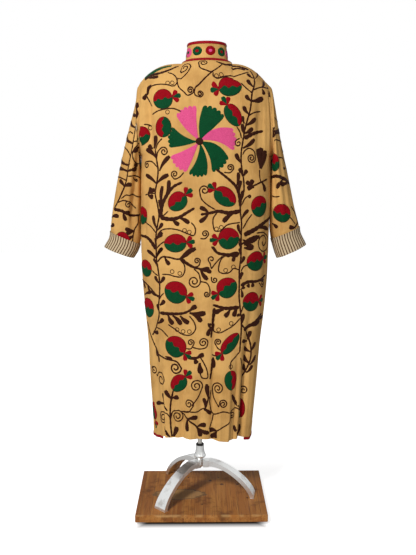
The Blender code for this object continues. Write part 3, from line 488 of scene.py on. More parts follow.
def sleeve_point(name, turn, place, off=0.0):
    """A point of a sleeve: an ellipse across it, and before row 1 a straight way from the body's edge.

    The ellipse's half-sizes and middle are smooth curves through the table, off metres wider all round, and
    each crease is a bell across its turn that fades at both ends.
    """
    turn, place = np.broadcast_arrays(np.asarray(turn, float), np.asarray(place, float))
    edge, edge_turns, row = ARMHOLES[name]
    table = np.array([row, *SLEEVES[name]], float)
    knots = range(len(table))
    at = np.maximum(place, 1.0)
    curves = (smooth(knots, column, at) for column in table.T)
    outer_x, outer_z, inner_x, inner_z, middle_y, half_depth = curves
    middle = np.stack([(outer_x + inner_x) / 2, middle_y, (outer_z + inner_z) / 2], axis=-1)
    half_x, half_z = (outer_x - inner_x) / 2, (outer_z - inner_z) / 2
    slim = 1 + off / np.hypot(half_x, half_z)
    cos, sin = np.cos(np.radians(turn)), np.sin(np.radians(turn))
    ring = np.stack([half_x * cos * slim, (half_depth + off) * sin, half_z * cos * slim], axis=-1)
    push = np.zeros(turn.shape)
    for crease in SLEEVE_CREASES[name]:
        span = (at - crease.start) / (crease.end - crease.start)
        away = (turn - crease.turn - crease.drift * span + 180) % 360 - 180
        ends = ease(span / 0.3) * ease((1 - span) / 0.3)
        push = push + crease.depth * np.exp(-((away / crease.width) ** 2)) * ends
    ring = middle + ring + unit(ring) * push[..., None]
    around = np.append(edge_turns, 360.0)
    closed = np.concatenate([edge, edge[:1]])
    start = np.stack([np.interp(turn % 360, around, closed[:, k]) for k in range(3)], axis=-1)
    return start + (ring - start) * np.clip(place, 0, 1)[..., None]


def sleeve_grid(name):
    """Rows from the armhole to the wrist, by columns round the sleeve. The first row is the body's edge."""
    _, turns, _ = ARMHOLES[name]
    even = np.linspace(0, 360, len(turns) + 1)[:-1]
    places = np.concatenate([[0, 0.33, 0.66], np.linspace(1.0, SLEEVE_END, SLEEVE_STEPS)])
    mix = ease((places - 0.5) / 3.0)[:, None]
    return sleeve_point(name, turns * (1 - mix) + even * mix, places[:, None])


def cuff_rings(name, columns=150):
    """The rings round a turned-back cuff's profile: down its outside, round the fold, and up inside.

    Two slow waves round it and a small one near the fold keep the cloth from lying like a pipe.
    """
    turns = np.linspace(0, 360, columns + 1)[:-1]
    near, far = CUFF_OFF
    start = CUFF_START[name]
    middle = (start + CUFF_END) / 2
    fold = CUFF_END - CUFF_ROLL
    crest = far + CUFF_WALL
    lip = CUFF_LIP / 2
    outside = [
        (start + (fold - start) * share, near + (far - near) * ease(share) + CUFF_WALL)
        for share in np.linspace(0, 1, CUFF_ROWS)
    ]
    roll = [
        (fold + CUFF_ROLL * math.sin(t), crest - lip + lip * math.cos(t))
        for t in np.linspace(0.3, math.pi - 0.3, 6)
    ]
    back = [(CUFF_END - 0.09, crest - CUFF_LIP), (CUFF_END - 0.11, far), (middle, far * 0.8), (start, near)]
    wave = 0.0011 * np.sin(np.radians(turns * 3 + 40)) + 0.0007 * np.sin(np.radians(turns * 7 - 65))
    sway = 0.05 * np.sin(np.radians(turns * 2 + 25))
    rings = []
    for place, off in outside + roll + back:
        share = np.clip((place - start) / (CUFF_END - start), 0, 1)
        ring_place = place + sway * (0.3 + 0.7 * share) * (place < CUFF_END - 0.15)
        rings.append(sleeve_point(name, turns, np.minimum(ring_place, CUFF_END), off + wave * share))
    return np.stack(rings)


# Walls from surfaces


def ring_order(rows, columns, closed):
    """Quads of a grid as four arrays of point numbers; closed joins its last column to its first."""
    last = columns if closed else columns - 1
    i, j = np.meshgrid(np.arange(rows - 1), np.arange(last), indexing="ij")
    after = (j + 1) % columns
    quads = np.stack([i * columns + j, (i + 1) * columns + j, (i + 1) * columns + after, i * columns + after])
    return quads.reshape(4, -1).T


def thickness_steps(grids):
    """Vectors that step one thickness off every face that meets at a grid point, on any of the grids.

    Each solves a small least-squares system: its dot product with every face's normal there is 1.
    """
    keys = []
    normals = []
    for points, closed, outwards in grids.values():
        a, b, c, d = (points.reshape(-1, 3)[k] for k in ring_order(*points.shape[:2], closed).T)
        normal = unit(np.cross(c - a, d - b) * outwards)
        for corner in (a, b, c, d):
            keys.append(point_keys(corner))
            normals.append(normal)
    found, place = np.unique(np.concatenate(keys), return_inverse=True)
    normals = np.concatenate(normals)
    square = np.zeros((len(found), 3, 3))
    total = np.zeros((len(found), 3))
    np.add.at(square, place, normals[:, :, None] * normals[:, None, :])
    np.add.at(total, place, normals)
    trace = np.trace(square, axis1=1, axis2=2)
    step = np.linalg.solve(square + np.eye(3) * (0.02 * trace)[:, None, None], total[..., None])[..., 0]
    step /= np.maximum(1.0, np.linalg.norm(step, axis=-1, keepdims=True) / LONGEST_MITRE)
    return {
        name: step[np.searchsorted(found, point_keys(points.reshape(-1, 3)))].reshape(points.shape)
        for name, (points, _, _) in grids.items()
    }


def point_keys(points):
    """One whole number for each point, the same for points within a twentieth of a millimetre."""
    steps = np.round(points / SAME_POINT).astype(np.int64) + KEY_RANGE // 5
    return (steps[:, 0] * KEY_RANGE + steps[:, 1]) * KEY_RANGE + steps[:, 2]


def drawn_in(points, steps, edges):
    """The grid with the named edges moved into it, to half a seam gap from the mitre they share."""
    moved = points.copy()
    places = {
        "top": (np.s_[0, :], np.s_[1, :]),
        "bottom": (np.s_[-1, :], np.s_[-2, :]),
        "first": (np.s_[:, 0], np.s_[:, 1]),
        "last": (np.s_[:, -1], np.s_[:, -2]),
    }
    for edge in edges:
        outer, inner = places[edge]
        line = points[outer]
        step = unit(points[inner] - line)
        mitre = unit(np.cross(np.gradient(line, axis=0), steps[outer]))
        squareness = np.abs(np.sum(step * mitre, axis=-1, keepdims=True))
        moved[outer] += step * SEAM_GAP / 2 / np.clip(squareness, 0.3, 1)
    return moved


def wall_faces(rows, columns, closed, outwards):
    """Faces of a wall between an outer grid and the inner grid numbered after it, and of its open edges."""
    count = rows * columns
    outer = ring_order(rows, columns, closed)
    number = np.arange(count).reshape(rows, columns)
    if closed:
        loops = [number[0], number[-1][::-1]]
    else:
        loops = [np.concatenate([number[0, :-1], number[:-1, -1], number[-1, :0:-1], number[:0:-1, 0]])]
    faces = [outer, outer[:, ::-1] + count]
    for loop in loops:
        after = np.roll(loop, -1)
        faces.append(np.stack([loop, after, after + count, loop + count], axis=1))
    kinds = np.concatenate([np.full(len(f), min(k, 2)) for k, f in enumerate(faces)])
    faces = np.concatenate(faces)
    return (faces if outwards > 0 else faces[:, ::-1]), kinds


# Making pieces


def new_piece(name, points, faces, finishes, uv=None, kinds=None, smooth_angle=40.0):
    """A mesh piece in the frame's own place, from points laid out from the pole and faces of four corners."""
    mesh = bpy.data.meshes.new(name)
    points = np.asarray(points, float).reshape(-1, 3) + (STAND_X, 0.0, 0.0)
    mesh.vertices.add(len(points))
    mesh.vertices.foreach_set("co", points.astype(np.float32).ravel())
    mesh.loops.add(faces.size)
    mesh.loops.foreach_set("vertex_index", faces.astype(np.int32).ravel())
    mesh.polygons.add(len(faces))
    mesh.polygons.foreach_set("loop_start", np.arange(0, faces.size, faces.shape[1], dtype=np.int32))
    mesh.update(calc_edges=True)
    for finish in finishes:
        mesh.materials.append(finish)
    if kinds is not None:
        mesh.polygons.foreach_set("material_index", kinds.astype(np.int32))
    if uv is not None:
        layer = mesh.uv_layers.new(name="flat")
        layer.data.foreach_set("uv", np.asarray(uv)[faces.ravel()].astype(np.float32).ravel())
    mesh.validate()
    mesh.shade_smooth()
    mesh.set_sharp_from_angle(angle=math.radians(smooth_angle))
    piece = bpy.data.objects.new(name, mesh)
    bpy.context.scene.collection.objects.link(piece)
    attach(piece, "root")
    return piece


def panel(name, points, steps, closed, outwards, finishes, slot, uv, out, inwards):
    """A sewn piece as a wall: its surface stepped out and in, with walls round its edge."""
    outer, inner = points + steps * out, points - steps * inwards
    rows, columns = points.shape[:2]
    faces, kinds = wall_faces(rows, columns, closed, outwards)
    kinds = np.minimum(kinds, len(finishes) - 1)
    points = np.concatenate([outer.reshape(-1, 3), inner.reshape(-1, 3)])
    uv = np.concatenate([uv.reshape(-1, 2)] * 2)
    return new_piece(name, points, faces, finishes, uv, kinds)


def distances(points, start=0):
    """How far each point of each row is along its row from the column numbered start."""
    steps = np.linalg.norm(np.diff(points, axis=1), axis=-1)
    along = np.concatenate([np.zeros((len(points), 1)), np.cumsum(steps, axis=1)], axis=1)
    return along - along[:, start : start + 1]


def along_path(path):
    """How far each point of one path is from its start, along it."""
    return distances(path[None])[0]


def polar(reach, angle):
    """Flat places at a distance and an angle: the distance times the cosine across, and times the sine up."""
    return np.stack([reach * np.cos(angle), reach * np.sin(angle)], axis=-1)


# Finishes


class Wire:
    """A number carried by a material's socket. Arithmetic on it adds the material's Math nodes."""

    def __init__(self, finish, socket):
        self.finish = finish
        self.socket = socket

    def math(self, operation, *others):
        """The result of a Math node on this value and others."""
        values = {k: value for k, value in enumerate((self, *others))}
        return self.finish.node("ShaderNodeMath", {"operation": operation}, values)

    def __add__(self, other):
        return self.math("ADD", other)

    def __sub__(self, other):
        return self.math("SUBTRACT", other)

    def __mul__(self, other):
        return self.math("MULTIPLY", other)

    def square(self):
        """This value times itself."""
        return self.math("POWER", 2.0)

    def wave(self, pitch):
        """A sine of this value, one wave every pitch."""
        return (self * (2 * math.pi / pitch)).math("SINE")

    def __rsub__(self, other):
        values = {0: other, 1: self}
        return self.finish.node("ShaderNodeMath", {"operation": "SUBTRACT"}, values)

    __radd__ = __add__
    __rmul__ = __mul__


class Finish:
    """A material that is being made, with one method for any node."""

    def __init__(self, name):
        self.material = bpy.data.materials.new(name)
        self.material.use_nodes = True
        self.tree = self.material.node_tree
        self.shader = self.tree.nodes["Principled BSDF"]

    def node(self, kind, settings=None, sockets=None, output=0):
        """A node of a type, with its settings and then the values or links of its sockets."""
        node = self.tree.nodes.new(kind)
        for name, value in (settings or {}).items():
            setattr(node, name, value)
        for name, value in (sockets or {}).items():
            self.join(node.inputs[name], value)
        return Wire(self, node.outputs[output])

    def join(self, socket, value):
        """Links a wire to a socket, or sets the socket to a constant."""
        if isinstance(value, Wire):
            self.tree.links.new(value.socket, socket)
        elif hasattr(value, "__len__") and len(value) == 3 and len(socket.default_value) == 4:
            socket.default_value = (*value, 1.0)
        else:
            socket.default_value = value

    def place(self):
        """Object coordinates, in metres."""
        return self.node("ShaderNodeTexCoord", output="Object")

    def flat(self):
        """The piece's own coordinates on its cloth, in metres."""
        return self.node("ShaderNodeUVMap", {"uv_map": "flat"})

    def parts(self, vector):
        """The three parts of a vector."""
        split = self.node("ShaderNodeSeparateXYZ", sockets={0: vector})
        return [Wire(self, split.socket.node.outputs[k]) for k in range(3)]

    def stretch(self, vector, scale):
        """A vector with each part times its own scale."""
        return self.node("ShaderNodeVectorMath", {"operation": "MULTIPLY"}, {0: vector, 1: scale})

    def noise(self, vector, scale=1.0, detail=2.0, roughness=0.5):
        """Soft noise from 0 to 1."""
        sockets = {"Vector": vector, "Scale": scale, "Detail": detail, "Roughness": roughness}
        return self.node("ShaderNodeTexNoise", sockets=sockets)

    def band(self, value, low, high):
        """0 below low, 1 above high, and a smooth rise between."""
        settings = {"interpolation_type": "SMOOTHSTEP"}
        return self.node("ShaderNodeMapRange", settings, {0: value, 1: low, 2: high, 3: 0.0, 4: 1.0})

    def mix(self, share, first, second):
        """Two colours mixed, second where share is 1."""
        return self.node("ShaderNodeMix", {"data_type": "RGBA"}, {0: share, 6: first, 7: second}, 2)

    def bump(self, height, distance, strength=1.0):
        """A normal that follows a height, where 1 is distance metres."""
        sockets = {"Height": height, "Distance": distance, "Strength": strength}
        return self.node("ShaderNodeBump", sockets=sockets, output="Normal")

    def done(self, colour, roughness, normal=None, **constants):
        """Wires the shader up and gives back the material."""
        self.join(self.shader.inputs["Base Color"], colour)
        self.join(self.shader.inputs["Roughness"], roughness)
        if normal is not None:
            self.join(self.shader.inputs["Normal"], normal)
        for name, value in constants.items():
            self.shader.inputs[name.replace("_", " ").title().replace("Ior", "IOR")].default_value = value
        return self.material


# Distances, in metres, between threads, ribs, stitches and stripes.
CLOTH_PITCH = 0.0011
LINING_PITCH = 0.0009
LINEN_PITCH = 0.0012
STRIPE_PITCH = 0.0094
RIB_PITCH = 0.0013
STITCH_PITCH = 0.0036
CHAIN_ROWS = 0.0014
CHAIN_LOOP = 0.0030
# How far a binding's rows of stitches are from its edges.
STITCH_INSET = 0.0014

# Colours of the cloth: its usual one, a darker and a paler one. Then each thread's light and dark one.
STRAW = ((0.700, 0.400, 0.126), (0.540, 0.287, 0.084), (0.810, 0.500, 0.185))
THREADS = {
    "brown": ((0.050, 0.012, 0.004), (0.024, 0.005, 0.002)),
    "green": ((0.000, 0.075, 0.022), (0.000, 0.040, 0.011)),
    "red": ((0.360, 0.000, 0.008), (0.240, 0.000, 0.004)),
    "pink": ((0.840, 0.110, 0.300), (0.680, 0.070, 0.210)),
}


def weave(finish, flat, pitch):
    """The height of a plain weave: two sets of threads that pass over and under each other."""
    across, along, _ = finish.parts(flat)
    return across.wave(pitch) * along.wave(pitch)


def cloth_finish():
    """Handwoven straw-yellow cotton: uneven threads, paler slubs, soft mottling and darker patches."""
    finish = Finish("straw_cloth")
    flat = finish.flat()
    slub = finish.noise(finish.stretch(flat, (420.0, 26.0, 1.0)), detail=3.0)
    cross = finish.noise(finish.stretch(flat, (30.0, 380.0, 1.0)), detail=2.0)
    mottle = finish.noise(finish.place(), scale=11.0, detail=4.0, roughness=0.6)
    wear = finish.noise(finish.place(), scale=3.1, detail=3.0)
    deep, dark, pale = STRAW
    colour = finish.mix(finish.band(mottle, 0.35, 0.72), deep, dark)
    colour = finish.mix(finish.band(slub, 0.56, 0.80) * 0.55, colour, pale)
    colour = finish.mix(finish.band(slub, 0.46, 0.22) * 0.40, colour, dark)
    colour = finish.mix(finish.band(wear, 0.50, 0.74) * 0.45, colour, (0.44, 0.225, 0.068))
    rumple = finish.noise(finish.stretch(finish.place(), (44.0, 44.0, 17.0)), detail=3.0, roughness=0.55)
    height = weave(finish, flat, CLOTH_PITCH) * 0.5 + slub * 1.2 + cross * 0.6 + rumple * 17.0
    rough = 0.86 - finish.band(slub, 0.5, 0.8) * 0.10
    return finish.done(colour, rough, finish.bump(height, 0.00022, 0.6), specular_ior_level=0.15)


def lining_finish():
    """Cream cotton with fine brown stripes that run along the cloth."""
    finish = Finish("striped_lining")
    flat = finish.flat()
    across, _, _ = finish.parts(flat)
    drift = finish.noise(flat, scale=60.0) * 0.0016
    line = finish.band((across + drift).wave(STRIPE_PITCH), 0.22, 0.46)
    fibre = finish.noise(finish.stretch(flat, (900.0, 90.0, 1.0)), detail=2.0)
    cream = finish.mix(fibre, (0.624, 0.496, 0.320), (0.528, 0.400, 0.240))
    brown = finish.mix(fibre, (0.104, 0.044, 0.014), (0.064, 0.026, 0.009))
    height = weave(finish, flat, LINING_PITCH) * 0.5 + fibre
    normal = finish.bump(height, 0.00018, 0.6)
    return finish.done(finish.mix(line, cream, brown), 0.84, normal, specular_ior_level=0.2)


def binding_finish():
    """Woven crimson binding, ribbed across and a little rubbed."""
    finish = Finish("crimson_binding")
    flat = finish.flat()
    along, across, _ = finish.parts(flat)
    rib = along.wave(RIB_PITCH)
    fibre = finish.noise(finish.stretch(flat, (700.0, 300.0, 1.0)), detail=3.0)
    rub = finish.noise(finish.place(), scale=55.0, detail=3.0)
    from_edge = BINDING / 2 - (across - BINDING / 2).math("ABSOLUTE")
    row = finish.band((from_edge - STITCH_INSET).math("ABSOLUTE"), 0.00055, 0.00025)
    stitch = row * finish.band(along.wave(STITCH_PITCH), -0.5, -0.1)
    colour = finish.mix(fibre, (0.38, 0.002, 0.012), (0.26, 0.001, 0.006))
    colour = finish.mix(finish.band(rub, 0.62, 0.80) * 0.3, colour, (0.46, 0.020, 0.030))
    colour = finish.mix(stitch * 0.6, colour, (0.150, 0.002, 0.006))
    height = rib * 0.5 + fibre - row * 1.2 + stitch * 0.8
    return finish.done(colour, 0.70, finish.bump(height, 0.00030, 0.7), specular_ior_level=0.15)


def thread_finish(name):
    """Embroidery thread in rows of chain stitch: loops along each row and a groove between rows."""
    finish = Finish(f"{name}_thread")
    flat = finish.flat()
    along, across, _ = finish.parts(flat)
    row = across.wave(CHAIN_ROWS).math("ABSOLUTE")
    loop = (along * (2 * math.pi / CHAIN_LOOP) + row * 1.4).math("SINE")
    fibre = finish.noise(finish.stretch(flat, (240.0, 900.0, 1.0)), detail=2.0)
    patch = finish.noise(finish.place(), scale=70.0, detail=2.0)
    light, dark = THREADS[name]
    colour = finish.mix(finish.band(fibre, 0.30, 0.75), light, dark)
    colour = finish.mix(finish.band(patch, 0.50, 0.75) * 0.5, colour, dark)
    height = row * 0.8 + loop * 0.5 + fibre * 0.4
    return finish.done(colour, 0.66, finish.bump(height, 0.00040, 0.8), specular_ior_level=0.10)


def form_finish():
    """Natural linen drawn over the moulded torso."""
    finish = Finish("linen_form")
    place = finish.place()
    cloud = finish.noise(place, scale=14.0, detail=4.0)
    x, y, z = finish.parts(place)
    threads = (x + y).wave(LINEN_PITCH) * z.wave(LINEN_PITCH)
    slub = finish.noise(finish.stretch(place, (40.0, 40.0, 600.0)), detail=2.0)
    colour = finish.mix(cloud, (0.70, 0.62, 0.50), (0.60, 0.51, 0.39))
    colour = finish.mix(finish.band(slub, 0.6, 0.8) * 0.3, colour, (0.48, 0.40, 0.30))
    return finish.done(colour, 0.88, finish.bump(threads + slub, 0.00020, 0.5), sheen_weight=0.1)


def brushed_finish(name, tint, dark, roughness):
    """Cast and brushed metal: fine scratches, soft clouds, and a brown film where it has dulled."""
    finish = Finish(name)
    place = finish.place()
    scratch = finish.noise(finish.stretch(place, (90.0, 90.0, 1400.0)), detail=3.0)
    cloud = finish.noise(place, scale=28.0, detail=4.0, roughness=0.6)
    pit = finish.noise(place, scale=420.0, detail=2.0)
    colour = finish.mix(finish.band(cloud, 0.52, 0.78) * 0.7, tint, dark)
    colour = finish.mix(finish.band(pit, 0.66, 0.78) * 0.5, colour, dark)
    rough = roughness + scratch * 0.14 + finish.band(cloud, 0.5, 0.8) * 0.16
    height = scratch * 0.6 + finish.band(pit, 0.70, 0.60) * 0.5
    return finish.done(colour, rough, finish.bump(height, 0.00012, 0.5), metallic=1.0)


def rubber_finish():
    """Black rubber, with a faint bloom."""
    finish = Finish("black_rubber")
    bloom = finish.noise(finish.place(), scale=160.0, detail=3.0)
    colour = finish.mix(bloom, (0.012, 0.012, 0.012), (0.035, 0.034, 0.032))
    return finish.done(colour, 0.45 + bloom * 0.25, finish.bump(bloom, 0.00010, 0.4))


def point_finish():
    """A rusty screw point: orange and dark brown spots."""
    finish = Finish("rusty_point")
    spots = finish.noise(finish.place(), scale=480.0, detail=4.0)
    colour = finish.mix(finish.band(spots, 0.42, 0.62), (0.060, 0.020, 0.012), (0.190, 0.050, 0.020))
    return finish.done(colour, 0.55 + spots * 0.3, finish.bump(spots, 0.00025, 0.7), metallic=0.35)


# Dark knots and nail holes in the board's top: place in metres from the middle, and radius.
KNOTS = (
    (-0.020, -0.085, 0.0065), (-0.060, -0.055, 0.0080), (-0.130, -0.095, 0.0060), (-0.117, -0.055, 0.0065),
    (-0.050, -0.110, 0.0040), (0.060, -0.112, 0.0040), (-0.145, 0.050, 0.0045), (0.010, 0.098, 0.0035),
)
# The blocks' width, and the worn patch's middle and half-sizes.
STAVE = 0.036
WORN_PATCH = ((0.090, 0.022), (0.105, 0.046))


def wood_finish():
    """Oiled blocks side by side: grain from front to back, a tone for each, knots, and a worn patch."""
    finish = Finish("oiled_blocks")
    place = finish.place()
    x, y, z = finish.parts(place)
    wander = finish.noise(finish.stretch(place, (3.0, 1.0, 3.0)), scale=4.0) * 0.004
    across = (x + wander) * (1 / STAVE)
    stave = across.math("FLOOR")
    tone = finish.node("ShaderNodeTexWhiteNoise", {"noise_dimensions": "1D"}, {"W": stave})
    shift = finish.node("ShaderNodeCombineXYZ", sockets={0: stave * 0.37, 1: stave * 1.9, 2: 0.0})
    own = finish.node("ShaderNodeVectorMath", {"operation": "ADD"}, {0: place, 1: shift})
    grain = finish.noise(finish.stretch(own, (260.0, 9.0, 200.0)), detail=4.0, roughness=0.6)
    rings = finish.noise(finish.stretch(own, (60.0, 3.0, 60.0)), detail=3.0)
    blotch = finish.noise(place, scale=16.0, detail=4.0, roughness=0.65)
    seam = finish.band(across.math("FRACT"), 0.035, 0.0)
    colour = finish.mix(tone, (0.420, 0.158, 0.032), (0.280, 0.092, 0.018))
    colour = finish.mix(finish.band(rings, 0.40, 0.66) * 0.7, colour, (0.520, 0.230, 0.055))
    colour = finish.mix(finish.band(grain, 0.50, 0.70) * 0.75, colour, (0.170, 0.055, 0.012))
    colour = finish.mix(finish.band(blotch, 0.52, 0.72) * 0.75, colour, (0.120, 0.042, 0.011))
    colour = finish.mix(seam * 0.7, colour, (0.070, 0.024, 0.008))
    # The worn patch: an uneven oval, its middle greyish yellow, with a dark rim.
    ragged = blotch * 0.9 + finish.noise(place, scale=60.0, detail=3.0) * 0.5
    (middle_x, middle_y), (half_x, half_y) = WORN_PATCH
    reach = ((x - middle_x) * (1 / half_x)).square() + ((y - middle_y) * (1 / half_y)).square() + ragged * 1.1
    patch = finish.band(reach, 1.62, 1.48)
    rim = patch * finish.band(reach, 1.28, 1.46)
    colour = finish.mix(patch * 0.60, colour, (0.440, 0.270, 0.110))
    colour = finish.mix(rim * 0.75, colour, (0.090, 0.040, 0.014))
    dark = None
    for knot_x, knot_y, radius in KNOTS:
        away = ((x - knot_x).square() + (y - knot_y).square() * 0.7).math("SQRT")
        spot = finish.band(away + (grain - 0.5) * radius, radius, radius * 0.55)
        dark = spot if dark is None else dark.math("MAXIMUM", spot)
    colour = finish.mix(dark * 0.85, colour, (0.035, 0.014, 0.006))
    # Rubbed front and top edges show paler wood, in patches.
    _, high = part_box("board")
    edge = finish.band(y, high[1] - 0.010, high[1] - 0.002) * finish.band(z, high[2] - 0.010, high[2] - 0.002)
    worn = edge * finish.band(finish.noise(finish.stretch(place, (28.0, 60.0, 60.0)), detail=3.0), 0.40, 0.60)
    colour = finish.mix(worn * 0.55, colour, (0.620, 0.360, 0.140))
    height = grain * 0.8 + blotch * 0.6 - seam * 1.5 - dark * 1.4 - rim * 0.8
    rough = 0.52 + blotch * 0.22
    return finish.done(colour, rough, finish.bump(height, 0.00060, 0.8), specular_ior_level=0.25)


FINISHES = {
    "cloth": cloth_finish(),
    "lining": lining_finish(),
    "binding": binding_finish(),
    "form": form_finish(),
    "steel": brushed_finish("brushed_steel", (0.60, 0.58, 0.54), (0.24, 0.20, 0.16), 0.24),
    "aluminium": brushed_finish("brushed_aluminium", (0.84, 0.85, 0.84), (0.40, 0.37, 0.34), 0.24),
    "rubber": rubber_finish(),
    "point": point_finish(),
    "wood": wood_finish(),
    **{name: thread_finish(name) for name in THREADS},
}


# The robe


def make_robe():
    """Every sewn piece, cut from surfaces that share their seam points and steps."""
    angles = {
        "back": back_columns()[None, :],
        "front_left": front_columns(1),
        "front_right": front_columns(-1),
    }
    grids = {name: panel_grid(columns) for name, columns in angles.items()}
    surfaces = {name: points for name, (points, _) in grids.items()}
    ups = {name: up for name, (_, up) in grids.items()}
    turns = neck_turns(surfaces)
    outward = {"back": -1, "front_left": -1, "front_right": 1}
    shapes = {name: (points, False, outward[name]) for name, points in surfaces.items()}
    for side, name, sign in ((1, "left", -1), (-1, "right", 1)):
        shapes[f"binding_front_{name}"] = (front_binding_grid(side), False, sign)
        shapes[f"binding_hem_{name}"] = (hem_binding_grid(side), False, sign)
        shapes[f"sleeve_{name}"] = (sleeve_grid(name), True, -sign)
    for name, low, high, steps in (
        ("binding_neck", 0.0, BINDING, 8),
        ("collar", BINDING, COLLAR_HEIGHT - BINDING, 12),
        ("binding_collar", COLLAR_HEIGHT - BINDING, COLLAR_HEIGHT, 8),
    ):
        levels = np.linspace(low, high, steps + 1)[:, None]
        shapes[name] = (collar_point(turns[None, :], levels), False, 1)
    steps = thickness_steps(shapes)
    made = {}
    flats = {}
    for name, (points, closed, outwards) in shapes.items():
        moved = drawn_in(points, steps[name], ("top",) if closed else ("top", "bottom", "first", "last"))
        if name in angles:
            across = distances(points)
            if name == "back":
                middle = np.array([np.interp(0.0, angles[name][0], line) for line in across])
            else:
                middle = across[:, -1]
            uv = np.stack([across - middle[:, None], ups[name]], axis=-1)
        else:
            down = distances(points.transpose(1, 0, 2)).T
            uv = np.stack([distances(points), down], axis=-1)
            if name.startswith("binding_front"):
                uv = uv[..., ::-1]
        flats[name] = uv
        if name.startswith("binding"):
            crown = BINDING_PROUD + crowned(points.shape, name)
            finishes, slot, wall = ["binding"], "binding", (crown, CLOTH + crown)
        else:
            finishes = ["cloth"] if name == "collar" else ["cloth", "lining"]
            slot, wall = "cloth", (0.0, CLOTH)
        finishes = [FINISHES[finish] for finish in finishes]
        piece = f"sewn_{name}"
        made[name] = panel(piece, moved, steps[name], closed, outwards, finishes, slot, uv, *wall)
        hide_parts(name)
    return made, shapes, steps, flats


def crowned(shape, name):
    """Extra height of a binding: the square root of a parabola across its width, none at its edges."""
    rows, columns = shape[:2]
    across = np.linspace(0, 1, columns)[None, :] if "front" in name else np.linspace(0, 1, rows)[:, None]
    height = BINDING_CROWN * np.sqrt(np.clip(4 * across * (1 - across), 0, 1))
    return np.broadcast_to(height, (rows, columns))[..., None]


# Embroidery
#
# Places are in centimetres, across and up. On the back, across is from its middle towards the wearer's left,
# and up is from the floor, but along the cloth where it bends over the shoulder. On a front, across is from
# its front edge and below zero, and each front has its own side's half of the back's design. On a sleeve,
# across is from the middle of its back towards its underarm, and up is from the tip of the shoulder, so that
# it is below zero. On the collar, across is from the nape towards the wearer's left, and up is from the seam.

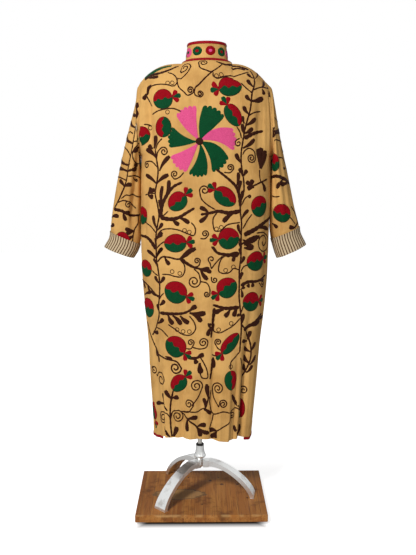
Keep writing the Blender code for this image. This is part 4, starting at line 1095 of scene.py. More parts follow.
# Lines of brown thread: the width in millimetres, then the places that each goes through.
LINES = {
    "back": [
        (6, (20.5, 143), (18, 144.5), (14, 145), (11.5, 146), (9, 148.5)),
        (6, (20, 144), (17, 143.5), (14.5, 143.5)),
        (3, (11.5, 145), (9.5, 144), (8.5, 142.5), (8.5, 141), (9.5, 140), (12, 140.5), (16, 140.5),
            (17.5, 140), (19, 138)),
        (5, (17, 140.5), (18.5, 139.5), (19, 138), (19.5, 137.5)),
        (3, (19.5, 137.5), (18.5, 135.5), (17.5, 134)),
        (3, (-3, 143), (-3, 142), (-4, 141.5), (-6, 142), (-9, 143), (-15, 145.5)),
        (6, (-4, 147.5), (-6.5, 146.5), (-11, 148.5), (-15.5, 147)),
        (5, (-9, 146), (-11.5, 147), (-14, 146.5)),
        (3, (-11.5, 141), (-13, 139.5), (-15, 138)),
        (3, (-9.5, 127.5), (-10.5, 126), (-11, 124)),
        (3, (17.5, 131.5), (15, 132.5), (12.5, 133), (10, 133), (7.5, 132)),
        (3, (21, 128.5), (20, 128.5), (18.5, 128)),
        (4, (-16, 146.5), (-16.5, 142.5), (-16, 140.5), (-15, 138), (-14.5, 135), (-14, 132.5),
            (-13, 129.5), (-12, 126), (-11.5, 123), (-11, 120)),
        (4, (-11, 120), (-11, 116.5), (-11.5, 113.5), (-12, 110.5), (-12, 107.5), (-11, 104.5),
            (-11, 101.5), (-11.5, 98), (-11.5, 95), (-11.5, 91.5), (-11.5, 86.5)),
        (4, (-11, 93), (-11.5, 87), (-11, 83), (-11, 78.5), (-11, 74.5), (-11.5, 70), (-12, 65.5),
            (-12, 59), (-12, 56.5)),
        (3, (-12, 56.5), (-10.5, 55), (-9, 53.5), (-9, 51)),
        (3, (-12.5, 54.5), (-14, 50), (-14.5, 43), (-15.5, 37), (-16, 31.5), (-16, 28)),
        (3, (-15.5, 139), (-18.5, 140), (-23, 139.5)),
        (3, (-13.5, 131), (-15.5, 132), (-18, 132.5)),
        (6, (-12, 124), (-15, 125.5), (-19, 126.5)),
        (3, (-17.5, 114.5), (-17.5, 112.5), (-18, 110.5)),
        (4, (-14, 109), (-15.5, 109.5), (-18, 110.5), (-21, 111.5)),
        (5, (-3, 114.5), (-5, 113), (-7.5, 111), (-9.5, 109), (-10.5, 106.5), (-11, 103)),
        (3, (-15, 100.5), (-13.5, 98.5), (-12, 96)),
        (7, (-12.5, 94), (-16, 95.5), (-20, 97.5), (-26, 99.5)),
        (6, (-11, 101.5), (-7, 101), (-4, 101.5), (-1.5, 101), (1.5, 100.5)),
        (3, (-3.5, 101), (-2.5, 99.5), (-2.5, 97), (-3, 95.5), (-5, 95.5), (-6.5, 97), (-11, 98)),
        (5, (-2.5, 90.5), (-4, 88.5), (-6.5, 88), (-10.5, 87.5)),
        (3, (14, 124), (15.5, 122.5), (16.5, 120.5)),
        (4, (16.5, 120.5), (16, 117.5), (15.5, 114.5), (16, 110), (16.5, 107.5), (15.5, 103), (15, 100),
            (15.5, 97), (16, 94), (16, 89.5), (16, 86.5)),
        (4, (16.5, 93), (16, 90), (16, 86.5), (15.5, 83.5), (15, 79.5), (15, 75.5), (15.5, 71.5),
            (15.5, 68), (17, 64.5), (19.5, 61)),
        (3, (21, 106.5), (18.5, 107), (16.5, 107)),
        (6, (14.5, 99.5), (14, 103.5), (12.5, 106.5), (10.5, 109), (7.5, 110.5)),
        (6, (14.5, 99.5), (11.5, 99), (8.5, 99.5), (6, 101), (3.5, 102.5)),
        (3, (12, 101.5), (13, 100.5), (14.5, 99.5)),
        (3, (21.5, 98), (18, 96.5), (16, 94.5)),
        (3, (15.5, 94), (14, 95.5), (11.5, 96), (8, 95.5), (5.5, 94.5), (3.5, 94), (3, 95.5), (3.5, 97),
            (4.5, 98)),
        (6, (24.5, 93.5), (19, 92.5), (16, 89.5)),
        (3, (13, 92), (14.5, 91), (16, 89.5)),
        (4, (15.5, 85.5), (14, 87), (11.5, 87), (8.5, 86.5), (6, 87.5), (3.5, 89.5)),
        (3, (8, 86.5), (6.5, 84.5), (6.5, 82.5), (7.5, 81), (9.5, 81), (11.5, 81.5), (14, 81.5)),
        (5, (7.5, 86.5), (5.5, 85), (3.5, 84), (1.5, 83.5)),
        (4, (24.5, 79), (20.5, 77.5), (17.5, 75.5), (15.5, 74)),
        (5, (15, 69), (11, 69), (6.5, 69.5), (3, 71.5)),
        (3, (5, 68.5), (3.5, 66.5), (3, 64.5), (4.5, 62.5), (7, 62.5), (9.5, 64), (12, 65.5)),
        (3, (13.5, 75.5), (14.5, 74.5), (15, 73.5)),
        (3, (18, 82.5), (16.5, 81.5), (15.5, 81)),
        (3, (17, 64), (14.5, 63.5), (12, 61.5)),
        (4, (22.5, 65), (21.5, 62.5), (20, 60), (18.5, 57.5), (16.5, 55)),
        (5, (5, 55), (3, 55), (0.5, 56)),
        (3, (1.5, 55.5), (0, 53), (-1, 50.5), (-1, 48.5), (0.5, 48.5), (1.5, 50.5)),
        (4, (10.5, 44), (11.5, 40.5), (12, 37), (12, 32.5), (11.5, 28.5)),
        (4, (13, 37), (15, 40), (15.5, 41.5)),
        (3, (8, 37), (5, 37.5), (2, 37.5), (0, 38.5), (-0.5, 38.5)),
        (4, (7.5, 36.5), (5.5, 35), (2, 32), (1.5, 30)),
        (4, (-1.5, 46), (-1.5, 42), (-1, 40), (-0.5, 38.5)),
        (6, (0, 38.5), (-1.5, 37.5), (-2.5, 36.5)),
        (3, (-2.5, 44.5), (-2, 40.5), (-3.5, 36.5), (-7, 37.5), (-10, 37), (-12, 38), (-15.5, 36.5)),
        (3, (-3.5, 36.5), (-3, 34), (-2, 31.5)),
        (3, (-10.5, 35.5), (-9, 33.5), (-6.5, 32), (-5, 31)),
        (5, (-2, 90.5), (-4, 88.5), (-6, 88), (-8, 87.5)),
        (3, (-8, 88), (-5.5, 87), (-4.5, 85), (-4.5, 82.5), (-6, 82), (-8, 82.5), (-9, 83.5), (-11, 83)),
        (3, (-5.5, 87.5), (-3.5, 85.5), (-2, 83.5)),
        (6, (-2.5, 72), (-6, 71), (-11, 71)),
        (5, (-3, 71), (-2.5, 66.5), (-2, 61.5)),
        (3, (-11.5, 67.5), (-9.5, 65.5), (-7, 64), (-4.5, 63), (-3, 63.5), (-3, 66)),
        (3, (-2.5, 56), (-3.5, 55.5), (-4.5, 55.5)),
        (5, (-3, 55), (-2.5, 51), (-2, 48)),
        (3, (-14, 84.5), (-12.5, 84), (-11.5, 82.5)),
        (5, (-11.5, 78), (-14, 79), (-17.5, 79), (-22.5, 80.5)),
        (6, (-13, 63.5), (-16.5, 65), (-21, 68)),
        (3, (-12.5, 71.5), (-12, 70), (-11.5, 68.5)),
        (4, (-12, 65.5), (-14.5, 62.5), (-16.5, 59), (-17.5, 54.5), (-16.5, 49.5), (-15, 46.5)),
        (4, (-12, 92.5), (-15, 91.5), (-17.5, 93)),
    ],
    "sleeve_left": [
        (4, (-2, -7), (-0.5, -10), (-1, -15), (-1, -20.5), (-1.5, -26.5), (-1.5, -31.5), (-2.5, -35.5),
            (-3.5, -38.5), (-5, -41.5)),
        (3, (-3.5, -39), (-1.5, -38), (0.5, -38), (4, -40)),
        (3, (-1.5, -31.5), (-3.5, -31), (-7, -31)),
        (3, (-1, -30), (1.5, -29.5), (8.5, -31.5)),
        (3, (-2.5, -37.5), (-0.5, -36), (0.5, -36), (2, -35.5), (3.5, -36), (8.5, -36)),
        (5, (-5, -41.5), (-1.5, -41.5), (2, -42.5), (6, -42)),
        (3, (5, -42), (5, -44.5), (3.5, -47), (3, -49.5), (3, -52.5)),
        (3, (-2, -16.5), (-3.5, -16), (-5, -16.5)),
        (3, (-1.5, -23.5), (-3, -22), (-6.5, -21)),
        (3, (-1, -19), (1, -18), (0.5, -17)),
    ],
    "sleeve_right": [
        (3, (-0.5, -11.5), (-2, -12), (-5, -13)),
        (3, (1, -20), (1, -19.5), (-6, -19.5)),
        (3, (-0.5, -24), (-4, -25), (-5.5, -27.5), (-5.5, -29.5)),
        (6, (7.5, -31), (0.5, -30), (-2, -31), (-5.5, -33)),
        (3, (4, -36), (2.5, -36.5), (0.5, -36.5)),
        (3, (-2, -43.5), (-3, -45), (-4, -46.5)),
        (4, (-4, -40.5), (-5.5, -43.5), (-5.5, -46), (-3.5, -47.5)),
        (6, (0, -14.5), (0.5, -16), (0, -16), (-5.5, -16)),
        (5, (0.5, -17.5), (0, -17), (-5.5, -16.5)),
    ],
}

# Curls: the width, the turns of the coil and its middle, then the places of the line that leads to it.
CURLS = {
    "back": [
        (3, -1.6, (6, 145.5), (8.5, 142.5), (6.5, 142.5), (5, 143.5), (4, 145)),
        (3, -1.7, (4.5, 138.5), (8.5, 141.5), (8, 139.5), (6.5, 138), (5.5, 137), (4, 137.5)),
        (3, 1.6, (0, 146.5), (-2.5, 143), (-1, 143.5), (1, 144.5), (1.5, 146.5)),
        (3, -1.7, (1.5, 137.5), (-6.5, 147), (-4.5, 144.5), (-2.5, 143), (-0.5, 141.5), (1.5, 140),
            (3, 139), (3, 137), (1.5, 136.5)),
        (3, 1.5, (13.5, 120), (16, 118), (15.5, 120), (14.5, 121)),
        (3, 1.4, (10, 113), (7, 113.5), (8.5, 112), (10, 111.5), (11, 112.5)),
        (3, -1.3, (20, 116), (15.5, 115), (18, 117), (20.5, 117)),
        (3, 1.8, (-14.5, 118), (-11.5, 119), (-12, 120), (-13.5, 121), (-15.5, 120), (-16, 118)),
        (3, -1.2, (-10, 122.5), (-10.5, 124), (-9.5, 123.5)),
        (3, -1.6, (-7.5, 115), (-5.5, 113.5), (-7.5, 113.5), (-8.5, 114.5)),
        (3, 1.3, (-14, 106), (-11.5, 103.5), (-12.5, 105.5), (-14, 106.5)),
        (3, 1.5, (0.5, 108), (-3, 102), (-0.5, 103.5), (1.5, 105.5), (2, 107.5)),
        (3, -1.5, (0, 94.5), (1.5, 93), (0, 93), (-1, 94)),
        (3, 1.6, (-20.5, 91.5), (-17, 94.5), (-20.5, 94.5), (-24, 92.5)),
        (3, -1.4, (2.5, 86), (3.5, 84), (2, 84.5), (1.5, 86)),
        (3, 1.7, (3.5, 79.5), (3.5, 83.5), (2, 82), (1.5, 80)),
        (3, 1.5, (-0.5, 75.5), (1.5, 79.5), (-0.5, 79), (-1.5, 77), (-1.5, 75.5)),
        (3, -1.5, (4.5, 60), (6, 58), (4.5, 58), (3.5, 59.5)),
        (3, -1.6, (0.5, 60), (4, 58.5), (1, 58), (-0.5, 58.5), (-1, 60)),
        (3, 1.6, (-4.5, 60), (-6.5, 57), (-4.5, 58), (-3.5, 59.5)),
        (4, 1.5, (9.5, 51.5), (16.5, 55), (11.5, 54), (9, 53.5), (7.5, 51.5)),
        (3, -1.8, (2.5, 46), (4, 39.5), (1.5, 43), (0.5, 45.5)),
        (3, -1.6, (5, 40), (8.5, 37), (5, 37.5), (3.5, 39.5)),
        (3, -1.8, (16, 34), (12, 34.5), (13, 36), (16.5, 36)),
        (3, 1.8, (9.5, 35.5), (12, 34.5), (11, 37), (9, 37.5)),
        (3, 1.9, (-5, 45), (-5.5, 39), (-3.5, 42), (-3, 45)),
        (3, 1.7, (-7, 40), (-5.5, 39), (-6, 41)),
        (3, -1.3, (-11, 36), (-10, 37), (-10.5, 35)),
        (3, 1.5, (15.5, 47), (18.5, 48), (18, 47.5)),
        (3, -1.4, (19.5, 49.5), (20, 50.5), (21, 49.5)),
        (3, 1.2, (-2, 86.5), (-2, 83.5), (-1.5, 85.5)),
        (3, -1.3, (-3, 80), (-2, 81), (-2, 80)),
        (3, 1.4, (-17, 43), (-15.5, 46.5), (-16, 44)),
        (3, 1.2, (-11, 68.5), (-10.5, 68), (-10.5, 68.5)),
        (3, -1.3, (-20.5, 78), (-18.5, 78.5), (-20, 77)),
    ],
    "sleeve_left": [
        (3, 1.3, (3, -23), (-0.5, -22), (2, -20.5), (2, -21.5), (8, -24)),
        (3, 1.3, (0.5, -39), (-2, -38), (0, -38)),
        (3, -1.3, (3, -31), (1, -30), (2.5, -31)),
    ],
}

# Small rings that stand on a line.
RINGS = {
    "back": [
        (11.5, 141), (10, 141), (-4, 142), (-5.5, 142.5), (12, 132), (19, 127.5), (6.5, 95.5), (5, 95),
        (-3.5, 96), (-5, 96.5), (10.5, 82.5), (8, 82), (9, 64), (7, 63.5), (5, 63.5), (-6.5, 83), (-9, 84),
        (-4.5, 64), (-8.5, 66), (-9, 52),
    ],
}

# Leaves: across and up of the foot, across and up of the tip, and the width in millimetres.
LEAVES = {
    "back": [
        (-17.8, 114.8, -17.1, 120.2, 12), (-17.9, 114.8, -18.4, 120.5, 12), (-18.0, 114.8, -19.7, 119.8, 12),
        (-16, 143, -14.5, 144.5, 7), (-17, 143, -20, 147, 5), (-15.5, 140, -14, 142, 8),
        (-19, 140, -21, 142, 8), (-19, 139.5, -19.5, 138, 8), (-23, 139.5, -22.5, 137.5, 7),
        (-14.5, 135.5, -13, 137, 8), (-14.5, 135.5, -18.5, 136.5, 10), (-13.5, 131.5, -12, 133.5, 8),
        (-12.5, 128, -15.5, 130, 8), (-12, 128.5, -11.5, 130.5, 7), (-12, 125.5, -14.5, 127, 8),
        (-12, 125, -11.5, 128, 7), (-11.5, 121, -15, 123.5, 8), (-11, 116.5, -9.5, 119, 8),
        (-11.5, 112.5, -10.5, 114.5, 8), (-12, 112.5, -13, 114, 8), (-14.5, 109, -13, 110.5, 8),
        (-14.5, 109, -15, 111, 9), (-15.5, 109, -13.5, 108.5, 9), (-18.5, 110.5, -20, 108, 9),
        (-9.5, 109, -10, 113, 7), (-10.5, 107, -11, 110.5, 7), (-11, 104.5, -11.5, 107.5, 7),
        (-11.5, 99, -13.5, 101.5, 7), (-1, 101, 1.5, 102.5, 8), (-1, 101, 1.5, 98.5, 8),
        (-9, 101, -6, 98.5, 9), (-17, 96, -22.5, 95.5, 8), (-12.5, 91, -17, 93, 8),
        (-12.5, 91, -15.5, 90, 9), (-11.5, 89, -11, 91.5, 6), (-11.5, 94, -10.5, 97, 6),
        (-10, 88, -9, 86, 7), (-7.5, 88, -10.5, 88, 8), (17, 121, 16.5, 124.5, 10),
        (17.5, 121, 19, 122, 8), (16, 118, 19.5, 120.5, 9), (15, 114, 12, 118, 8), (16, 110, 20, 112.5, 8),
        (16, 110, 12.5, 112.5, 8), (14.5, 100.5, 15, 104.5, 7), (14, 102.5, 14, 108.5, 7),
        (13, 106, 12, 110.5, 8), (8.5, 99.5, 5.5, 98, 8), (10.5, 99, 8.5, 97.5, 8),
        (15.5, 95.5, 17, 99.5, 7), (15.5, 95.5, 14, 97.5, 7), (16, 92.5, 14, 94, 7),
        (16.5, 86.5, 19.5, 88.5, 7), (16, 86.5, 14, 89.5, 7), (19.5, 107, 18, 108.5, 12),
        (19.5, 107, 17, 108, 8), (19.5, 106.5, 17.5, 106, 9), (19.5, 138, 20.5, 136.5, 8),
        (16, 86.5, 19.5, 88.5, 7), (16, 86.5, 14, 89.5, 7), (15.5, 83.5, 17, 86, 6),
        (15, 78.5, 16.5, 80.5, 7), (15, 78.5, 13.5, 80.5, 7), (15, 74.5, 18.5, 75.5, 7),
        (15, 71.5, 13.5, 73, 8), (15.5, 69.5, 16, 71.5, 6), (16, 65.5, 14, 67, 8), (16, 92.5, 14, 94.5, 7),
        (13, 87, 11.5, 85, 8), (8, 86.5, 3.5, 89.5, 9), (2, 83.5, -1, 83.5, 10),
        (1.5, 83.5, -1.5, 82.5, 8), (1.5, 83.5, -0.5, 80.5, 8), (5, 70, 3, 71.5, 9),
        (5, 69.5, 0.5, 69.5, 10), (4, 69, 1.5, 67, 9), (12, 68.5, 10.5, 66, 9), (10.5, 68.5, 8, 66, 9),
        (8, 68.5, 5.5, 66.5, 9), (23.5, 78.5, 22.5, 76.5, 7), (20.5, 77.5, 19.5, 75.5, 7),
        (23, 74, 19.5, 75, 6), (19, 62, 16.5, 62.5, 8), (17.5, 56, 16.5, 53, 7), (18, 57, 17.5, 54.5, 6),
        (13, 55, 11, 54, 7), (3, 55, 2.5, 53.5, 9), (2.5, 55, 0.5, 56, 9), (1.5, 53.5, 1, 50.5, 11),
        (11, 41, 13, 43.5, 9), (11, 41.5, 9, 42, 9), (14, 39, 15, 42, 8), (14.5, 39, 19, 38, 8),
        (11.5, 28, 14.5, 31, 8), (11.5, 28, 10, 31.5, 10), (5.5, 35, 2.5, 35.5, 9),
        (5.5, 35, 5.5, 31.5, 9), (2, 32.5, -0.5, 33, 9), (2, 32, -1.5, 30.5, 9), (2, 32, 1, 29.5, 9),
        (-0.5, 38.5, 0, 41.5, 7), (-1.5, 42, -1, 46, 7), (-6, 70.5, -3.5, 69.5, 9),
        (-8, 70.5, -6.5, 68.5, 9), (-10.5, 71, -9.5, 68.5, 9), (-2, 66, -1, 65.5, 9),
        (-2, 65, -1, 62.5, 8), (-3, 55, -3, 52, 9), (-5, 31, -2.5, 31, 9), (-5, 31, -3, 29, 9),
        (-5, 31, -4.5, 28.5, 9), (-16, 27.5, -12.5, 31.5, 7), (-16, 27.5, -16.5, 31, 7),
        (-15.5, 37, -11, 42, 7), (-12.5, 90, -15.5, 90, 9), (-11.5, 91, -17.5, 93, 9),
        (-11.5, 85, -12.5, 87, 7), (-11.5, 80, -12, 82, 7), (-11.5, 87, -11, 89.5, 6),
        (-11.5, 77, -12, 74.5, 6), (-12.5, 78, -12.5, 77, 8), (-14.5, 78.5, -14, 77.5, 8),
        (-16, 79, -16, 77.5, 8), (-18, 79, -21, 79, 8), (-12, 65.5, -12.5, 68.5, 7),
        (-16, 65, -22, 66.5, 8), (-15.5, 64.5, -19.5, 65.5, 8), (-15.5, 59.5, -13, 60, 8),
        (-15.5, 60, -16, 62.5, 8), (-17, 56, -14.5, 57.5, 8), (-17, 56, -18.5, 58.5, 8),
        (-17.5, 52, -15, 54.5, 8), (-17.5, 51.5, -19.5, 54, 8), (-17, 49, -15.5, 51.5, 7),
        (-17, 49, -18.5, 51, 8),
    ],
    "sleeve_left": [
        (-1, -8.5, -3, -7.5, 7), (-1, -8.5, -1.5, -7, 8), (-0.5, -10.5, -4, -10.5, 7),
        (-0.5, -10.5, -0.5, -10.5, 10), (-1, -14.5, -5, -13, 7), (-1, -14, 0, -14, 9),
        (-1, -19.5, -6.5, -17.5, 9), (-1, -22.5, 1.5, -20.5, 9), (-1.5, -26.5, -7, -25, 9),
        (-1, -26, 8, -24.5, 12), (1.5, -25, 2, -26.5, 8), (-1.5, -28.5, -7, -28.5, 9),
        (-1.5, -28.5, 2, -27.5, 9), (-2, -33.5, -4, -32, 8), (-2, -33.5, 0.5, -32.5, 9),
        (-1, -41.5, 0, -44, 8), (-6.5, -44.5, -3, -43.5, 8), (-7, -47.5, -4.5, -46.5, 8),
        (3.5, -47.5, 0.5, -47, 9), (3.5, -47.5, 1, -48.5, 9), (3, -49, 1.5, -50, 8),
        (-1.5, -41.5, 1, -41.5, 8),
    ],
    "sleeve_right": [
        (-1.5, -31.5, 1, -33.5, 9), (-4.5, -32.5, -0.5, -32.5, 9), (0.5, -16, -5.5, -15.5, 10),
        (0.5, -16.5, -5.5, -16.5, 9), (-4.5, -28, -3, -28, 6), (-3.5, -47.5, -1.5, -47, 9),
        (-4, -21.5, -5.5, -22.5, 6), (0.5, -18, 0.5, -16, 6), (8.5, -30, 8.5, -30, 8),
        (4.5, -45, 3, -46.5, 7),
    ],
}

# Fruits: across, up, the way that the calyx points in degrees, length, width, the red half's side of that
# way (1 or -1), and whether the calyx shows.
Fruit = namedtuple("Fruit", "across up turn length width side calyx")
FRUITS = {
    place: [Fruit(*row) for row in rows]
    for place, rows in {
        "back": (
            (13.5, 136, 170, 6.5, 6, -1, True), (13.5, 127.5, -85, 6.2, 5.3, 1, False),
            (-8, 139.5, -10, 7.3, 5.3, 1, True), (-8.5, 131, 60, 7.3, 4.9, 1, True),
            (9, 104.5, 140, 6.5, 5.8, -1, True), (-6, 106, 35, 7.7, 5.5, 1, True),
            (9.5, 91.5, 175, 7.2, 5.7, -1, True), (-7.5, 93, -5, 6.7, 6.7, 1, True),
            (-18, 103, -20, 6.6, 6.6, 1, False), (21.3, 83, 190, 6.4, 5.4, -1, False),
            (21.2, 70, 190, 6.2, 6.4, -1, False), (22.2, 125, 175, 6.4, 5.8, -1, False),
            (23.2, 100, 195, 6.4, 5.6, -1, False), (9.5, 76, -160, 7.5, 7, -1, True),
            (-7, 77.5, -35, 6.7, 6.4, 1, True), (-17, 85.5, 170, 6.8, 6.2, -1, True),
            (-15.5, 72.5, 180, 6.4, 6.2, -1, True), (9.5, 58.5, -145, 7.1, 6.8, -1, True),
            (-8.5, 59.5, -50, 8, 4.3, 1, True), (8.5, 46.5, 135, 6.5, 5, -1, True),
            (-9.5, 47.5, 80, 6.4, 4.6, 1, False), (-16.5, 37, -95, 6.4, 3.4, -1, False),
            (22.8, 34.5, -110, 6, 5.4, -1, True),
        ),
        "sleeve_left": (
            (-0.5, -51, 175, 5, 5.4, -1, False),
        ),
        "sleeve_right": (
            (1.7, -25.5, 175, 5.4, 5.6, -1, False), (0.5, -42, -160, 6.6, 6, -1, False),
        ),
    }.items()
}

# The big flower's petals: the way each points halfway out and its half-angle there, in degrees, the same at
# its tip, its length and its colour.
FLOWER_PLACE = (2.1, 123.0)
Petal = namedtuple("Petal", "turn half tip_turn tip_half length colour")
PETALS = [
    Petal(*row)
    for row in (
        (61.5, 20.5, 67, 20, 11.4, "pink"), (113.5, 24.5, 117, 20.5, 11.6, "green"),
        (160.5, 21, 176.5, 19.5, 11.7, "pink"), (213, 23.5, 227.5, 20.5, 10.9, "green"),
        (262.5, 16.5, 273, 17, 11.1, "green"), (311, 19, 314, 21, 10.9, "pink"),
        (361.5, 17, 368.5, 20.5, 10.2, "green"),
    )
]

# Rosettes on the collar: across, up, half-width, half-height, petal colour and middle colour.
Rosette = namedtuple("Rosette", "across up half_width half_height colour middle")
ROSETTES = [
    Rosette(*row)
    for row in (
        (3.05, 3.15, 1.65, 1.45, "green", "red"), (-1.25, 3.15, 1.6, 1.5, "red", "pink"),
        (-5.1, 3, 1.45, 1.45, "green", "red"), (6.8, 3, 1.75, 1.55, "pink", "green"),
        (-8.8, 2.9, 1.7, 1.55, "pink", "green"), (10.6, 2.9, 1.55, 1.45, "green", "red"),
        (-12.7, 2.9, 1.55, 1.45, "red", "pink"), (14.4, 2.9, 1.55, 1.45, "red", "pink"),
        (-16.6, 2.9, 1.55, 1.45, "green", "red"), (18.2, 2.9, 1.5, 1.4, "green", "red"),
        (-20.4, 2.9, 1.5, 1.4, "pink", "green"),
    )
]

# Sizes of the tables that find a place on the cloth.
GROUND_ROWS, GROUND_COLUMNS = 420, 300
THREAD_HEIGHT = 0.0010
THREAD_STEP = 0.0032
PATCH_HEIGHT, UPPER_PATCH_HEIGHT, TOP_PATCH_HEIGHT = 0.0013, 0.0015, 0.0019
# The half-widths of a seam's ridge, a fruit's outline and a small ring in metres, and that ring's radius in
# centimetres.
RIDGE, OUTLINE, RING = 0.0007, 0.0009, 0.0012
RING_RADIUS = 0.62
# A patch in an oval ends at this share of the oval's half-width.
OVAL_END = 0.985
# A line of thread in section: places across its half-width and up its height.
THREAD_SECTION = np.array([(-1.0, 0.0), (-0.62, 0.8), (0.0, 1.0), (0.62, 0.8), (1.0, 0.0), (0.0, -0.4)])
LEAF_WIDTHS = (0.38, 0.46, 0.64, 0.84, 0.98, 1.0, 0.62)
# Rows of a filled shape, from border to border: close together there, so that its edge is steep.
PATCH_PLACES = (0.0, 0.05, 0.20, 0.45, 0.70, 0.92, 1.0)
# How much wider the stitches lie than the line drawn for them: thin lines, branches and leaves.
LINE_SPREAD, BRANCH_SPREAD, LEAF_SPREAD = 1.46, 2.1, 1.78
LEAF_STRETCH = 1.14
# The two stems that the back's branches grow from, in centimetres across.
STEMS = np.array([-11.5, 15.5])
# The share of a rosette that its middle takes.
ROSETTE_MIDDLE = 0.36
# The green leaf on the left shoulder's corner: foot, tip and width.
SHOULDER_LEAF = ((11.4, 148.9), (20.2, 144.9), 21)
# How far, in centimetres, the back's design is moved on each front, and the other sleeve's design on a
# sleeve, where it is mirrored and fills the side that faces forward.
FRONT_SHIFTS = {"front_left": (-0.8, -3.0), "front_right": (-0.8, -1.5)}
SLEEVE_SHIFT = (-18.0, 0.5)
COLOURS = ("brown", "green", "red", "pink", "cloth")
# Seams between the strips that the back is joined from: across, and from how far up to how far.
STRIP_SEAMS = {"back": [(-2.0, 27, 112), (-11.5, 27, 141), (7.5, 27, 66)]}


def between(table, row, column):
    """The table's values at places between its rows and columns, mixed from the four around each."""
    rows, columns = table.shape[:2]
    row, column = np.clip(row, 0, rows - 1.001), np.clip(column, 0, columns - 1.001)
    i, j = row.astype(int), column.astype(int)
    s, t = row - i, column - j
    if table.ndim > 2:
        s, t = s[..., None], t[..., None]
    upper = table[i, j] * (1 - t) + table[i, j + 1] * t
    lower = table[i + 1, j] * (1 - t) + table[i + 1, j + 1] * t
    return upper * (1 - s) + lower * s


class Ground:
    """A panel to sew on. It finds the point of the panel's own grid that is so far across and up the cloth.

    A first table gives the grid's column for each height and width, and a second its row for each height
    and column.
    """

    def __init__(self, points, steps, across, up):
        self.points, self.steps = points, steps
        rows, columns = up.shape
        self.heights = np.linspace(up.min(), up.max(), GROUND_ROWS)
        self.widths = np.linspace(across.min(), across.max(), GROUND_COLUMNS)
        row_numbers = [np.interp(-self.heights, -up[:, k], np.arange(rows)) for k in range(columns)]
        self.rows = np.stack(row_numbers, axis=1)
        numbers = np.broadcast_to(np.arange(columns, dtype=float), self.rows.shape)
        reach = between(across, self.rows, numbers)
        self.columns = np.stack([np.interp(self.widths, line, np.arange(columns)) for line in reach])

    def find(self, flat):
        """The grid's row and column at places across and up the cloth."""
        level = (flat[..., 1] - self.heights[0]) / (self.heights[1] - self.heights[0])
        along = (flat[..., 0] - self.widths[0]) / (self.widths[1] - self.widths[0])
        column = between(self.columns, level, along)
        return between(self.rows, level, column), column

    def inside(self, flat):
        """Whether each place is on the cloth, clear of its edges."""
        row, column = self.find(flat)
        rows, columns = self.points.shape[:2]
        return (row > 0.6) & (row < rows - 1.6) & (column > 0.4) & (column < columns - 1.4)

    def lay(self, flat, height):
        """Points over places on the cloth, height metres off its face."""
        row, column = self.find(flat)
        rows, columns = self.points.shape[:2]
        row, column = np.clip(row, 0.35, rows - 1.35), np.clip(column, 0.2, columns - 1.2)
        return between(self.points, row, column) + between(self.steps, row, column) * height[..., None]


